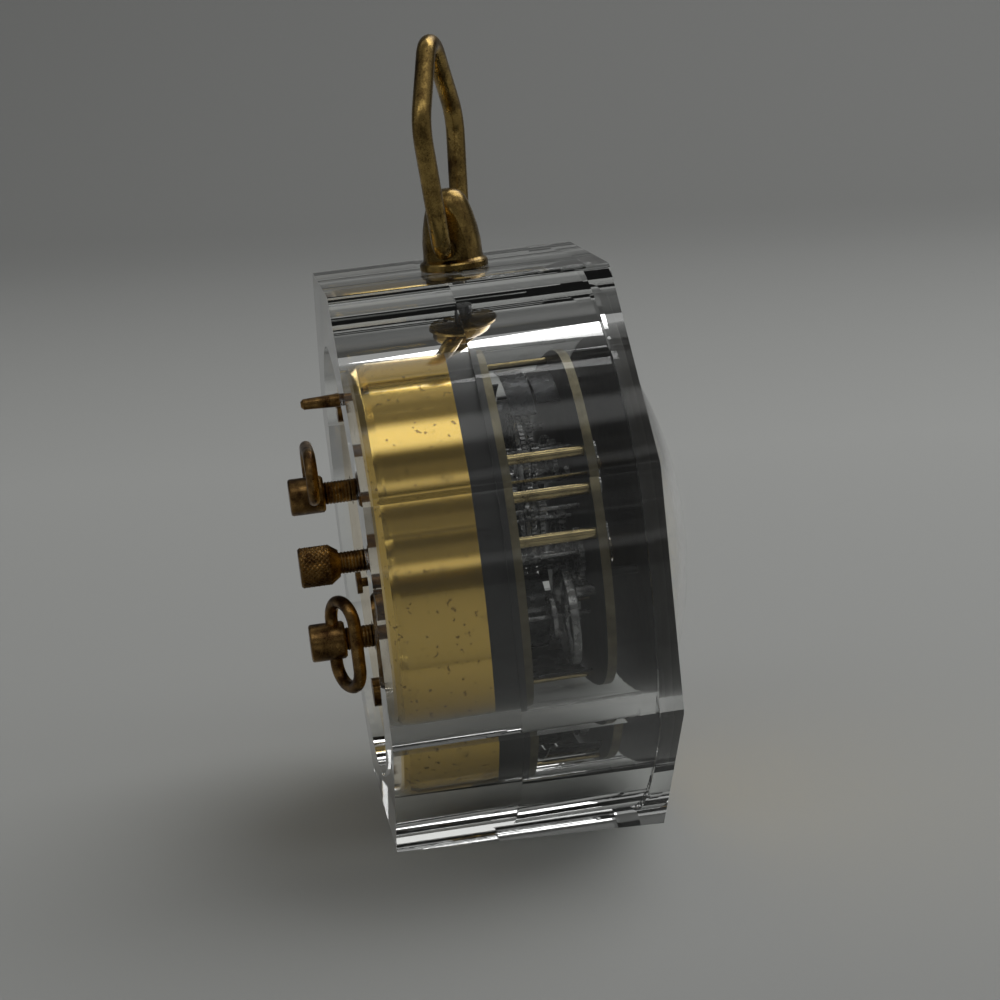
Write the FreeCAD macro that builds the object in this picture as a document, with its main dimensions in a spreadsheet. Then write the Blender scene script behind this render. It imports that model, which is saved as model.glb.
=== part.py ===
# Octagonal clear acrylic alarm clock with a visible movement, a brass bell cover and a carrying bail.
# Frame: +Z up, the dial looks towards -Y, the keys stand out towards +Y, origin at the middle of the foot.
# Every piece is drawn upright on the axis of the bore and then leans back with the whole clock.
import FreeCAD, Part
import math
import os
import re
import Sketcher

from FreeCAD import Placement, Rotation, Vector

os.makedirs("parts", exist_ok=True)
doc = FreeCAD.newDocument("skeleton_alarm_clock")

# Driving dimensions, in millimetres, degrees or counts
sizes = {
    # clear body
    "body_width": 90.0, "body_depth": 43.0, "corner_trim": 3.0, "lower_trim": 0.8, "lean_angle": 4.0,
    "front_bore_r": 35.6, "bore_step": 0.8, "seat_width": 1.6, "seat_depth": 2.0,
    # gaps between pieces
    "fit_gap": 0.1, "run_gap": 0.06, "swing_gap": 0.3, "overrun": 5.0,
    # handle
    "flange_r": 5.4, "flange_thick": 1.4, "boss_r": 4.7, "boss_top_r": 2.9, "boss_height": 12.6,
    "boss_dome": 1.6, "cheek_half": 3.4, "pivot_r": 1.1, "pivot_rise": 3.4, "pivot_depth": 2.2,
    "boss_turn_angle": 21.0, "bail_wire_r": 1.5, "bail_foot_half": 6.1, "bail_bend_half": 10.6,
    "bail_bend_rise": 19.8, "bail_top_rise": 34.0, "bail_foot_round": 2.0, "bail_bend_round": 7.0,
    "bail_top_round": 3.6, "stud_r": 1.4, "stud_rise": 1.2,
    # bell cover, ring and plates
    "cover_recess": 1.8, "cover_wall": 0.8, "cover_round": 2.4, "cover_post_r": 1.7, "cover_post_inset": 7.4,
    "ring_wall": 1.6, "ring_flange": 1.0, "ring_collar": 3.7, "plate_thick": 1.4, "plate_gap": 12.0,
    "plate_margin": 0.4, "plate_step": 2.6, "pillar_r": 1.0, "pillar_inset": 2.2,
    "nut_r": 1.9, "nut_thick": 0.9, "screw_head_r": 2.4, "screw_head_thick": 0.9, "screw_slot": 0.6,
    "thread_r": 0.6, "thread_depth": 2.5,
    "plate_screw_r": 1.6, "plate_screw_thick": 0.4, "pipe_r": 1.7, "stud_post_r": 0.6,
    # dial, bezel, crystal and hands
    "motion_room": 5.0, "dial_thick": 0.5, "dial_hole_r": 3.4, "dial_foot_r": 0.8, "dial_foot_inset": 6.8,
    "bezel_wall": 1.3, "bezel_hold": 1.5, "bezel_proud": 0.7, "bezel_lip": 0.8, "dome_gap": 0.2,
    "dome_height": 10.4, "dome_wall": 1.8, "hand_thick": 0.3, "hand_step": 0.75, "hand_lift": 0.6,
    "minute_inset": 1.6, "hour_inset": 7.5, "alarm_inset": 5.5, "hand_tail": 5.5, "hand_hub_r": 2.6,
    "minute_half": 1.1, "hour_half": 1.6, "alarm_half": 0.6, "mark_half": 0.5, "mark_thick": 0.2,
    "mark_length": 4.0, "mark_gap": 0.8, "hour_pipe_r": 1.75, "cannon_pipe_r": 1.6, "arbor_proud": 0.6,
    "alarm_pipe_r": 2.3, "alarm_disc_r": 5.5, "alarm_disc_level": 3.6, "motion_level": 0.6, "hour_level": 2.2,
    # where the arbors stand, seen from the front, and how the train turns round the centre
    "center_x": 0.0, "center_z": 0.0, "time_x": 2.0, "time_z": -13.2, "alarm_x": 15.0, "alarm_z": 8.6,
    "balance_x": -16.0, "balance_z": -9.5, "third_angle": 120.0, "fourth_angle": 165.0, "minute_angle": 215.0,
    "bell_angle": 285.0, "verge_angle": 330.0, "stop_inset": 7.5,
    # teeth and modules
    "great_teeth": 48, "center_leaves": 10, "center_teeth": 56, "third_leaves": 7, "third_teeth": 48,
    "fourth_leaves": 8, "fourth_teeth": 60, "escape_leaves": 6, "escape_teeth": 15,
    "cannon_leaves": 12, "minute_teeth": 36, "minute_leaves": 10, "hour_teeth": 40,
    "alarm_leaves": 8, "alarm_escape_teeth": 18,
    "third_module": 0.35, "fourth_module": 0.33, "escape_module": 0.28, "cannon_module": 0.4,
    "escape_r": 5.0, "escape_root_r": 3.9, "alarm_escape_r": 4.2, "alarm_escape_root_r": 3.2,
    # levels in front of the rear plate
    "great_level": 0.6, "great_thick": 1.1, "drum_depth": 5.0,
    "fourth_level": 3.4, "third_level": 5.9, "center_level": 10.0, "escape_level": 10.6, "wheel_thick": 0.7,
    "balance_level": 7.6, "balance_thick": 1.2, "hairspring_level": 5.6, "bell_level": 7.4,
    "leaf_overhang": 0.5,
    # balance, hairspring and lever
    "balance_r": 10.0, "balance_rim": 1.1, "balance_arm_half": 0.7, "balance_bush_r": 1.0, "roller_r": 1.7,
    "roller_thick": 0.4, "impulse_orbit": 1.25, "impulse_r": 0.2, "spring_inner_r": 1.3, "spring_strip": 0.15,
    "spring_pitch": 0.62, "spring_turns": 6, "spring_height": 0.6, "stud_half": 0.5,
    "lever_half": 0.45, "lever_arm": 3.3, "lever_thick": 0.4, "lever_swing_angle": 4.0, "pallet_pin_r": 0.18,
    "pallet_clear": 0.04, "fork_half": 0.8, "fork_length": 1.6, "fork_clear": 1.0, "cock_thick": 0.5,
    "cock_reach": 5.8, "cock_half": 1.1, "banking_r": 0.35, "banking_reach": 3.0,
    # winding
    "arbor_r": 1.2, "thin_arbor_r": 0.5, "pivot_thin_r": 0.3, "drum_r": 9.4, "ratchet_r": 4.2,
    "ratchet_root_r": 3.4,
    "ratchet_teeth": 18, "ratchet_thick": 0.9, "click_length": 5.2, "click_half": 0.8, "click_pin_r": 0.6,
    "click_gap": 0.08, "click_head": 0.6,
    "hub_r": 3.1, "hub_length": 5.8, "hub_proud": 8.6, "hub_bevel": 0.4, "shank_bore": 4.0, "shank_r": 1.9,
    "shank_depth": 8.0, "shank_gap": 0.5, "bow_wire_r": 1.05, "bow_length": 14.2, "bow_width": 7.5,
    "bow_round": 3.6, "bow_hole_inset": 1.9, "time_bow_fold_angle": 26.0, "alarm_bow_fold_angle": 0.0,
    "time_bow_turn_angle": -90.0, "alarm_bow_turn_angle": 0.0,
    # set knob, stop pin and regulator
    "knob_r": 3.3, "knob_length": 6.4, "knob_proud": 8.8, "knob_taper": 1.5, "knob_bevel": 0.3,
    "knob_shank_r": 1.8,
    "stop_r": 1.05, "stop_tip_r": 0.85, "stop_round": 0.4, "stop_proud": 5.3, "stop_travel": 2.0,
    "regulator_reach": 9.8, "regulator_half": 0.8, "regulator_thick": 0.6, "regulator_post_r": 0.7,
    "regulator_head_r": 1.7, "regulator_proud": 0.8, "regulator_swing_angle": 15.0, "regulator_hub_r": 2.2,
    # alarm hammer
    "hammer_shaft_r": 0.6, "hammer_reach": 10.5, "hammer_head_r": 1.8, "hammer_head_length": 4.2,
    "hammer_arm_half": 0.5, "hammer_arm_thick": 1.0, "hammer_rise": 7.7, "hammer_gap": 0.8,
    "hammer_swing_angle": 4.0, "verge_arm": 3.0,
}

# Shapes of teeth, arms and outlines, as shares of the sizes they follow
escape_tip_share = 0.08
web_share = 0.4
tip_share = 0.62
root_share = 0.95
pitch_fill_share = 0.40
tip_fill_share = 0.16
root_fill_share = 0.56
rim_share = 0.84
hub_share = 0.24
arm_share = 0.07
stud_depth_share = 0.69
flange_edge_share = 0.7
boss_cap_share = 0.6
knob_taper_share = 0.75
slot_depth_share = 0.5
saw_share = 0.8
click_eye_share = 1.6
hand_tip_share = 0.5
hand_belly_share = 0.62
escape_reach_share = 1.24
lever_place_share = 0.5
verge_reach_share = 1.25
bevel_in_share = 0.13
bevel_out_share = 0.5


def number(text):
    """Value of a sum such as "body_depth/2 - cover_recess" in the sheet's sizes."""
    total = 0.0
    sign = 1.0
    for token in text.split():
        if token in ("+", "-"):
            sign = 1.0 if token == "+" else -1.0
            continue
        if token.startswith("-"):
            sign = -sign
            token = token[1:]
        value = 1.0
        times = True
        for piece in re.split(r"([*/])", token):
            if piece in ("*", "/"):
                times = piece == "*"
                continue
            factor = sizes[piece] if piece in sizes else float(piece)
            value = value * factor if times else value / factor
        total += sign * value
        sign = 1.0
    return total


def derive(name, text):
    """Adds a size worked out from others."""
    sizes[name] = number(text)


def around(name, centre, distance, angle):
    """Adds the place of an arbor at a distance and angle from another one."""
    turn = math.radians(sizes[angle])
    sizes[name + "_x"] = sizes[centre + "_x"] + sizes[distance] * math.cos(turn)
    sizes[name + "_z"] = sizes[centre + "_z"] + sizes[distance] * math.sin(turn)


# Sizes worked out from the driving ones
derive("half_flats", "body_width/2")
derive("rear_y", "body_depth/2")
derive("front_y", "-body_depth/2")
derive("seat_y", "front_y + seat_depth")
derive("works_y", "seat_y + motion_room")
derive("front_plate_y", "works_y + plate_thick")
derive("inner_y", "front_plate_y + plate_gap")
derive("rear_plate_y", "inner_y + plate_thick")
derive("step_y", "rear_plate_y + ring_flange")
derive("cover_rim_y", "step_y + ring_collar")
derive("cover_y", "rear_y - cover_recess")
derive("dial_y", "seat_y - dial_thick")
derive("alarm_hand_y", "dial_y - hand_lift")
derive("hour_hand_y", "alarm_hand_y - hand_step")
derive("minute_hand_y", "hour_hand_y - hand_step")
derive("rear_bore_r", "front_bore_r - bore_step")
derive("cup_r", "rear_bore_r - fit_gap")
derive("cup_inner_r", "cup_r - cover_wall")
derive("seat_r", "front_bore_r + seat_width")
derive("crystal_r", "seat_r - bezel_wall")
derive("bezel_inner_r", "crystal_r - bezel_hold")
derive("dome_rim_r", "bezel_inner_r - dome_gap")
derive("dome_inner_r", "dome_rim_r - dome_wall")
derive("mark_reach", "dome_inner_r - mark_gap")
derive("minute_reach", "mark_reach - mark_length - minute_inset")
derive("hour_reach", "minute_reach - hour_inset")
derive("alarm_reach", "hour_reach - alarm_inset")
derive("rear_plate_r", "rear_bore_r - plate_margin")
derive("front_plate_r", "rear_plate_r - plate_step")
derive("pillar_orbit", "front_plate_r - pillar_inset")
derive("dial_foot_orbit", "front_plate_r - dial_foot_inset")
derive("cover_post_orbit", "cup_inner_r - cover_post_inset")
derive("stop_z", "cup_inner_r - stop_inset")
derive("head_orbit", "cup_inner_r - hammer_gap - hammer_head_r")
derive("hammer_level_y", "rear_plate_y + hammer_rise")
sizes["stud_depth"] = (sizes["half_flats"] - sizes["front_bore_r"]) * stud_depth_share
sizes["diagonal_share"] = math.sqrt(0.5)
sizes["half_side"] = sizes["half_flats"] * math.tan(math.radians(22.5))
sizes["time_distance"] = math.hypot(sizes["time_x"], sizes["time_z"])
sizes["great_module"] = 2 * sizes["time_distance"] / (sizes["great_teeth"] + sizes["center_leaves"])
for pair, wheel, pinion, module in (
    ("third", "center_teeth", "third_leaves", "third_module"),
    ("fourth", "third_teeth", "fourth_leaves", "fourth_module"),
    ("escape", "fourth_teeth", "escape_leaves", "escape_module"),
    ("minute", "minute_teeth", "cannon_leaves", "cannon_module"),
    ("bell", "great_teeth", "alarm_leaves", "great_module"),
):
    sizes[pair + "_distance"] = sizes[module] * (sizes[wheel] + sizes[pinion]) / 2
around("third", "center", "third_distance", "third_angle")
around("fourth", "third", "fourth_distance", "fourth_angle")
around("minute", "center", "minute_distance", "minute_angle")
around("bell", "alarm", "bell_distance", "bell_angle")
sizes["hour_module"] = 2 * sizes["minute_distance"] / (sizes["minute_leaves"] + sizes["hour_teeth"])


def apex(name, first, first_radius, second, second_radius):
    """Adds the place that lies at two distances from two arbors, on the left of the way between them."""
    ax, az = sizes[first + "_x"], sizes[first + "_z"]
    bx, bz = sizes[second + "_x"], sizes[second + "_z"]
    span = math.hypot(bx - ax, bz - az)
    along = (first_radius ** 2 - second_radius ** 2 + span ** 2) / (2 * span)
    across = math.sqrt(max(first_radius ** 2 - along ** 2, 0))
    ux, uz = (bx - ax) / span, (bz - az) / span
    sizes[name + "_x"] = ax + along * ux - across * uz
    sizes[name + "_z"] = az + along * uz + across * ux


escape_reach = sizes["balance_r"] * escape_reach_share
apex("escape", "balance", escape_reach, "fourth", sizes["escape_distance"])
for axis in ("_x", "_z"):
    ahead = sizes["escape" + axis] * lever_place_share
    sizes["lever" + axis] = ahead + sizes["balance" + axis] * (1 - lever_place_share)
sizes["verge_distance"] = sizes["alarm_escape_r"] * verge_reach_share + sizes["hammer_shaft_r"]
around("verge", "bell", "verge_distance", "verge_angle")
apex("head", "verge", sizes["hammer_reach"], "center", sizes["head_orbit"])

sheet = doc.addObject("Spreadsheet::Sheet", "Sizes")
for row, (name, value) in enumerate(sizes.items(), start=1):
    sheet.set("A%d" % row, name)
    sheet.set("B%d" % row, repr(float(value)))
    sheet.setAlias("B%d" % row, name)
doc.recompute()

# The whole clock leans back on its foot
lean = Rotation(Vector(1, 0, 0), -sizes["lean_angle"])
foot_rise = sizes["half_flats"] - sizes["rear_y"] * math.tan(math.radians(sizes["lean_angle"]))
LEAN = Placement(Vector(0, 0, 0) - lean.multVec(Vector(0, 0, -foot_rise)), lean)
TO_Y = Rotation(Vector(1, 0, 0), -90)
nodes = []


def bound(text):
    """The same sum as an expression on the sheet's cells."""
    return re.sub(r"[A-Za-z_]\w*", lambda found: "Sizes." + found.group(0), text)


def node(thing, name, x="0", z="0", turn=Rotation()):
    """Names a finished sub-part and stands it on its own axis in the leaning clock."""
    own = Placement(Vector(number(x), 0, number(z)), turn)
    thing.Label = name
    thing.Placement = LEAN.multiply(own)
    nodes.append(thing)
    return thing


def plane(body, role):
    """Origin plane of a body by its role."""
    return next(f for f in body.Origin.OriginFeatures if f.Role == role)


def pin_point(sketch, item, end, first, second):
    """Holds one end of a sketch line at two distances that follow the sheet."""
    for kind, axis, text in (("DistanceX", -2, first), ("DistanceY", -1, second)):
        if text == "0":
            sketch.addConstraint(Sketcher.Constraint("PointOnObject", item, end, axis))
            continue
        place = sketch.addConstraint(Sketcher.Constraint(kind, -1, 1, item, end, number(text)))
        sketch.setExpression("Constraints[%d]" % place, bound(text))


def draw(sketch, outline, circles=()):
    """Closed outline of straight lines through points given as sums, with round holes."""
    corners = [Vector(number(a), number(b), 0) for a, b in outline]
    for place, corner in enumerate(corners):
        sketch.addGeometry(Part.LineSegment(corner, corners[(place + 1) % len(corners)]), False)
    for place, (first, second) in enumerate(outline):
        following = (place + 1) % len(outline)
        sketch.addConstraint(Sketcher.Constraint("Coincident", place, 2, following, 1))
        pin_point(sketch, place, 1, first, second)
    for first, second, radius in circles:
        centre = Vector(number(first), number(second), 0)
        item = sketch.addGeometry(Part.Circle(centre, Vector(0, 0, 1), number(radius)), False)
        place = sketch.addConstraint(Sketcher.Constraint("Radius", item, number(radius)))
        sketch.setExpression("Constraints[%d]" % place, bound(radius))
        pin_point(sketch, item, 3, first, second)


def new_sketch(body, role, name):
    """Sketch on one of the body's origin planes."""
    sketch = body.newObject("Sketcher::SketchObject", name)
    sketch.AttachmentSupport = [(plane(body, role), "")]
    sketch.MapMode = "FlatFace"
    return sketch


def turn_on(body, name, profile, kind="PartDesign::Revolution"):
    """Turns a profile of (radius, y) points about the Y axis of the body."""
    sketch = new_sketch(body, "XY_Plane", name + "_profile")
    draw(sketch, profile)
    feature = body.newObject(kind, name)
    feature.Profile = sketch
    feature.ReferenceAxis = (sketch, ["V_Axis"])
    feature.Angle = 360
    return feature


def pad_on(body, name, outline, y, thick, circles=()):
    """Pads an (x, z) outline from y towards the dial."""
    sketch = new_sketch(body, "XZ_Plane", name + "_outline")
    sketch.setExpression("AttachmentOffset.Base.z", "-1 * (" + bound(y) + ")")
    draw(sketch, outline, circles)
    feature = body.newObject("PartDesign::Pad", name)
    feature.Profile = sketch
    feature.setExpression("Length", bound(thick))
    return feature


def turned(name, profile):
    """Body turned about the Y axis from one profile."""
    body = doc.addObject("PartDesign::Body", name + "_body")
    turn_on(body, name + "_turning", profile)
    return body


def padded(name, outline, y, thick, circles=()):
    """Body padded from one outline."""
    body = doc.addObject("PartDesign::Body", name + "_body")
    pad_on(body, name + "_pad", outline, y, thick, circles)
    return body


def ring_profile(inner, outer, low, high):
    """Square section of a ring."""
    return [(inner, low), (outer, low), (outer, high), (inner, high)]


def rod_along_y(name, radius, low, length, x="0", z="0"):
    """A plain round rod along Y as a primitive bound to the sheet."""
    rod = doc.addObject("Part::Cylinder", name)
    rod.Placement = Placement(Vector(number(x), number(low), number(z)), TO_Y)
    rod.setExpression("Radius", bound(radius))
    rod.setExpression("Height", bound(length))
    rod.setExpression("Placement.Base.y", bound(low))
    return rod


def on_orbit(orbit, angle):
    """Place on a circle round the axis."""
    turn = math.radians(angle)
    return Vector(number(orbit) * math.cos(turn), 0, number(orbit) * math.sin(turn))


def rods_on_orbit(name, radius, low, length, orbit, angles):
    """Equal rods round the axis, kept as separate solids of one sub-part."""
    rods = []
    for place, angle in enumerate(angles):
        rod = rod_along_y("%s_%d" % (name, place + 1), radius, low, length)
        at = on_orbit(orbit, angle)
        rod.Placement = Placement(Vector(at.x, number(low), at.z), TO_Y)
        rod.setExpression("Placement.Base.y", bound(low))
        rods.append(rod)
    group = doc.addObject("Part::Compound", name + "_group")
    group.Links = rods
    return group


def feature(name, shape):
    """A sub-part whose shape comes from curves that no sketch feature gives as simply."""
    thing = doc.addObject("Part::Feature", name + "_shape")
    thing.Shape = shape
    return thing


def disc(radius, low, high, x=0.0, z=0.0):
    """Round solid along Y, as a tool for the free shapes."""
    return Part.makeCylinder(radius, high - low, Vector(x, low, z), Vector(0, 1, 0))


def tooth_ring(teeth, tip_r, root_r, fills, low, high, phase):
    """Solid with straight-sided teeth; fills are the filled shares of the pitch at root and tip."""
    pitch = 2 * math.pi / teeth
    points = []
    for tooth in range(teeth):
        middle = phase + tooth * pitch
        for radius, share in ((root_r, -fills[0]), (tip_r, -fills[1]), (tip_r, fills[1]), (root_r, fills[0])):
            angle = middle + share * pitch / 2
            points.append(Vector(radius * math.cos(angle), low, radius * math.sin(angle)))
    face = Part.Face(Part.makePolygon(points + points[:1]))
    return face.extrude(Vector(0, high - low, 0))


def gear(teeth, module, low, high, phase):
    """Toothed disc of a train: slim stub teeth that clear their mates with play."""
    tip_r = module * (teeth / 2 + tip_share)
    root_r = module * (teeth / 2 - root_share)
    return tooth_ring(teeth, tip_r, root_r, (root_fill_share, tip_fill_share), low, high, phase)


def leaves(teeth, module, low, high, phase):
    """Pinion leaves: thinner than wheel teeth, with deeper spaces."""
    tip_r = module * (teeth / 2 + tip_share)
    root_r = module * (teeth / 2 - root_share)
    return tooth_ring(teeth, tip_r, root_r, (pitch_fill_share, tip_fill_share), low, high, phase)


def crossed_out(solid, outer_r, low, high, arms, hole_r, phase=0.0):
    """Wheel blank with its windows between the arms cut out, and its centre bored."""
    rim_r = outer_r * rim_share
    hub_r = max(outer_r * hub_share, hole_r * 2)
    windows = disc(rim_r, low, high).cut(disc(hub_r, low, high))
    half = outer_r * arm_share
    for arm in range(arms):
        bar = Part.makeBox(outer_r, high - low, 2 * half, Vector(0, low, -half))
        bar.rotate(Vector(0, 0, 0), Vector(0, 1, 0), phase + arm * 360 / arms)
        windows = windows.cut(bar)
    return solid.cut(windows).cut(disc(hole_r, low, high))


def mesh_phase(first, second, first_teeth, second_teeth, first_phase):
    """Turn of the second gear that puts its space opposite a tooth of the first."""
    dx = sizes[second + "_x"] - sizes[first + "_x"]
    dz = sizes[second + "_z"] - sizes[first + "_z"]
    way = math.atan2(dz, dx)
    place = (way - first_phase) * first_teeth / (2 * math.pi)
    return way + math.pi - (0.5 - place) * 2 * math.pi / second_teeth


def level(name, thick="wheel_thick"):
    """Low and high y of a wheel that lies at a level in front of the rear plate."""
    high = sizes["inner_y"] - sizes[name]
    return high - sizes[thick], high


bend_chords = 3


def bent_path(corners, rounds, chords, closed=False):
    """Wire of straight runs whose bends are short chords of a tangent arc."""
    count = len(corners)
    points = []
    for place, corner in enumerate(corners):
        if rounds[place] == 0:
            points.append(corner)
            continue
        back = (corners[place - 1] - corner).normalize()
        ahead = (corners[(place + 1) % count] - corner).normalize()
        half = back.getAngle(ahead) / 2
        reach = rounds[place] / math.tan(half)
        axis = back.cross(ahead).normalize()
        centre = corner + (back + ahead).normalize() * (rounds[place] / math.sin(half))
        spoke = corner + back * reach - centre
        turn = 180 - math.degrees(2 * half)
        for step in range(chords + 1):
            points.append(centre + Rotation(axis, -turn * step / chords).multVec(spoke))
    if closed:
        points.append(points[0])
    return Part.makePolygon(points)


def wire_along(path, radius):
    """Round wire swept along straight runs with mitred joints."""
    first = path.Edges[0]
    way = first.tangentAt(first.FirstParameter)
    start = first.CenterOfMass if path.isClosed() else first.firstVertex().Point
    section = Part.Wire([Part.makeCircle(radius, start, way)])
    return path.makePipeShell([section], True, False, 1)


# Clear body: octagonal block with a stepped bore, a seat for the dial, a slanted foot and a hole for the stud
trim = "corner_trim*diagonal_share"
small_trim = "lower_trim*diagonal_share"
side = "half_flats"
edge = "half_side"
right_half = [
    (edge, "-half_flats"), (side + " - " + small_trim, "-half_side - " + small_trim),
    (side, "-half_side + lower_trim"),
    (side, edge + " - corner_trim"), (side + " - " + trim, edge + " + " + trim),
    (edge + " + " + trim, side + " - " + trim), (edge + " - corner_trim", side),
]
left_half = [
    ("-half_side + corner_trim", side), ("-half_side - " + trim, side + " - " + trim),
    ("-half_flats + " + trim, edge + " + " + trim), ("-half_flats", edge + " - corner_trim"),
    ("-half_flats", "-half_side + lower_trim"), ("-half_flats + " + small_trim, "-half_side - " + small_trim),
    ("-half_side", "-half_flats"),
]
block = padded("block", right_half + left_half, "rear_y", "body_depth")
turn_on(block, "block_bore", [
    ("0", "rear_y + overrun"), ("rear_bore_r", "rear_y + overrun"), ("rear_bore_r", "step_y"),
    ("front_bore_r", "step_y"), ("front_bore_r", "seat_y"), ("seat_r", "seat_y"),
    ("seat_r", "front_y - overrun"), ("0", "front_y - overrun"),
], "PartDesign::Groove")
foot_cut = doc.addObject("Part::Box", "foot_cut")
foot_cut.setExpression("Length", bound("body_width"))
foot_cut.setExpression("Width", bound("body_depth*2"))
foot_cut.setExpression("Height", bound("overrun"))
slope = Rotation(Vector(1, 0, 0), sizes["lean_angle"])
corner = Vector(-sizes["half_flats"], sizes["front_y"], -sizes["half_flats"])
foot_cut.Placement = Placement(corner + slope.multVec(Vector(0, -sizes["overrun"], -sizes["overrun"])), slope)
stud_hole = doc.addObject("Part::Cylinder", "stud_hole")
stud_hole.setExpression("Radius", bound("stud_r + fit_gap"))
stud_hole.setExpression("Height", bound("stud_depth + overrun"))
stud_hole.setExpression("Placement.Base.z", bound("half_flats - stud_depth"))
body_tools = doc.addObject("Part::MultiFuse", "body_tools")
body_tools.Shapes = [foot_cut, stud_hole]
clear_body = doc.addObject("Part::Cut", "clear_body_cut")
clear_body.Base = block
clear_body.Tool = body_tools
node(clear_body, "clear_body")

# Handle: turned boss with two flat cheeks, its stud and the bent bail
boss_turn = Rotation(Vector(0, 0, 1), -sizes["boss_turn_angle"])
boss_body = doc.addObject("PartDesign::Body", "boss_turned")
boss_sketch = new_sketch(boss_body, "XZ_Plane", "boss_profile")
draw(boss_sketch, [
    ("0", "half_flats"), ("flange_r", "half_flats"),
    ("flange_r", "half_flats + flange_thick*%.2f" % flange_edge_share),
    ("boss_r", "half_flats + flange_thick"), ("boss_r", "half_flats + pivot_rise"),
    ("boss_top_r", "half_flats + boss_height - boss_dome"),
    ("boss_top_r*%.2f" % boss_cap_share, "half_flats + boss_height"), ("0", "half_flats + boss_height"),
])
boss_feature = boss_body.newObject("PartDesign::Revolution", "boss_turning")
boss_feature.Profile = boss_sketch
boss_feature.ReferenceAxis = (boss_sketch, ["V_Axis"])
boss_feature.Angle = 360
cheeks = []
for name, start in (("cheek_right", "cheek_half"), ("cheek_left", "-cheek_half - overrun")):
    cheek = doc.addObject("Part::Box", name)
    cheek.setExpression("Length", bound("overrun"))
    cheek.setExpression("Width", bound("flange_r*4"))
    cheek.setExpression("Height", bound("boss_height"))
    cheek.setExpression("Placement.Base.x", bound(start))
    cheek.setExpression("Placement.Base.y", bound("-flange_r*2"))
    cheek.setExpression("Placement.Base.z", bound("half_flats + flange_thick"))
    cheeks.append(cheek)
pivot_hole = doc.addObject("Part::Cylinder", "pivot_hole")
pivot_hole.Placement = Placement(Vector(-number("flange_r"), 0, 0), Rotation(Vector(0, 1, 0), 90))
pivot_hole.setExpression("Radius", bound("pivot_r + run_gap"))
pivot_hole.setExpression("Height", bound("flange_r*2"))
pivot_hole.setExpression("Placement.Base.z", bound("half_flats + pivot_rise"))
stud_seat = doc.addObject("Part::Cylinder", "stud_seat")
stud_seat.setExpression("Radius", bound("stud_r + fit_gap"))
stud_seat.setExpression("Height", bound("stud_rise"))
stud_seat.setExpression("Placement.Base.z", bound("half_flats"))
boss_tools = doc.addObject("Part::MultiFuse", "boss_tools")
boss_tools.Shapes = cheeks + [pivot_hole, stud_seat]
boss = doc.addObject("Part::Cut", "boss_cut")
boss.Base = boss_body
boss.Tool = boss_tools
node(boss, "handle_boss", turn=boss_turn)
stud = doc.addObject("Part::Cylinder", "stud")
stud.setExpression("Radius", bound("stud_r"))
stud.setExpression("Height", bound("stud_depth + stud_rise"))
stud_body = doc.addObject("Part::Compound", "stud_group")
stud.setExpression("Placement.Base.z", bound("half_flats - stud_depth"))
stud_body.Links = [stud]
node(stud_body, "handle_stud")

pivot_z = number("half_flats + pivot_rise")
pin_start = sizes["cheek_half"] + sizes["swing_gap"]
bail_half = [
    Vector(pin_start, 0, pivot_z), Vector(sizes["bail_foot_half"], 0, pivot_z),
    Vector(sizes["bail_bend_half"], 0, pivot_z + sizes["bail_bend_rise"]),
]
bail_corners = bail_half + [Vector(0, 0, pivot_z + sizes["bail_top_rise"])]
bail_corners += [Vector(-corner.x, 0, corner.z) for corner in reversed(bail_half)]
bail_rounds = ["bail_foot_round", "bail_bend_round", "bail_top_round", "bail_bend_round", "bail_foot_round"]
bail_path = bent_path(bail_corners, [0] + [sizes[name] for name in bail_rounds] + [0], bend_chords)
bail_shape = wire_along(bail_path, sizes["bail_wire_r"])
bail_pins = []
for side_sign in (1, -1):
    pin_end = Vector(side_sign * pin_start, 0, pivot_z)
    inward = Vector(-side_sign, 0, 0)
    bail_pins.append(Part.makeCylinder(sizes["pivot_r"], number("pivot_depth + swing_gap"), pin_end, inward))
node(feature("handle_bail", bail_shape.fuse(bail_pins)), "handle_bail", turn=boss_turn)


# Bell cover: drawn brass cup open towards the dial, with its holes and the regulator's curved slot
def shoulder(radius, y, size):
    """Rounded corner of a turned profile in three steps, from the side wall to the flat end."""
    steps = ((0, 1), (bevel_in_share, bevel_out_share), (bevel_out_share, bevel_in_share), (1, 0))
    return [(radius + " - " + size % inward, y + " - " + size % back) for inward, back in steps]


outer_shoulder = shoulder("cup_r", "cover_y", "cover_round*%.2f")
inner_shoulder = shoulder("cup_inner_r", "cover_y - cover_wall", "cover_round*%.2f")
cup = turned("cup", [
    ("0", "cover_y - cover_wall"), *reversed(inner_shoulder), ("cup_inner_r", "cover_rim_y"),
    ("cup_r", "cover_rim_y"), *outer_shoulder, ("0", "cover_y"),
])
cover_angles = (60, 180, 290)
cover_holes = []
for name, x, z, radius in (
    ("time", "time_x", "time_z", "shank_r + shank_gap"),
    ("alarm", "alarm_x", "alarm_z", "shank_r + shank_gap"),
    ("knob", "0", "0", "knob_shank_r + shank_gap"),
    ("stop", "0", "stop_z", "stop_r + fit_gap"),
):
    cover_holes.append(rod_along_y(name + "_cover_hole", radius, "cover_y - overrun", "overrun*2", x, z))
cover_holes.append(rods_on_orbit("cover_screw_hole", "thread_r + fit_gap", "cover_y - overrun", "overrun*2",
                                 "cover_post_orbit", cover_angles))
slot_half = number("regulator_post_r + swing_gap")
slot_low = number("cover_y - overrun")
slot_high = number("cover_y + overrun")
reach = sizes["regulator_reach"]
slot_ring = disc(reach + slot_half, slot_low, slot_high).cut(disc(reach - slot_half, slot_low, slot_high))
swing = math.radians(sizes["regulator_swing_angle"])
wedge_points = [Vector(0, slot_low, 0)]
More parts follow.
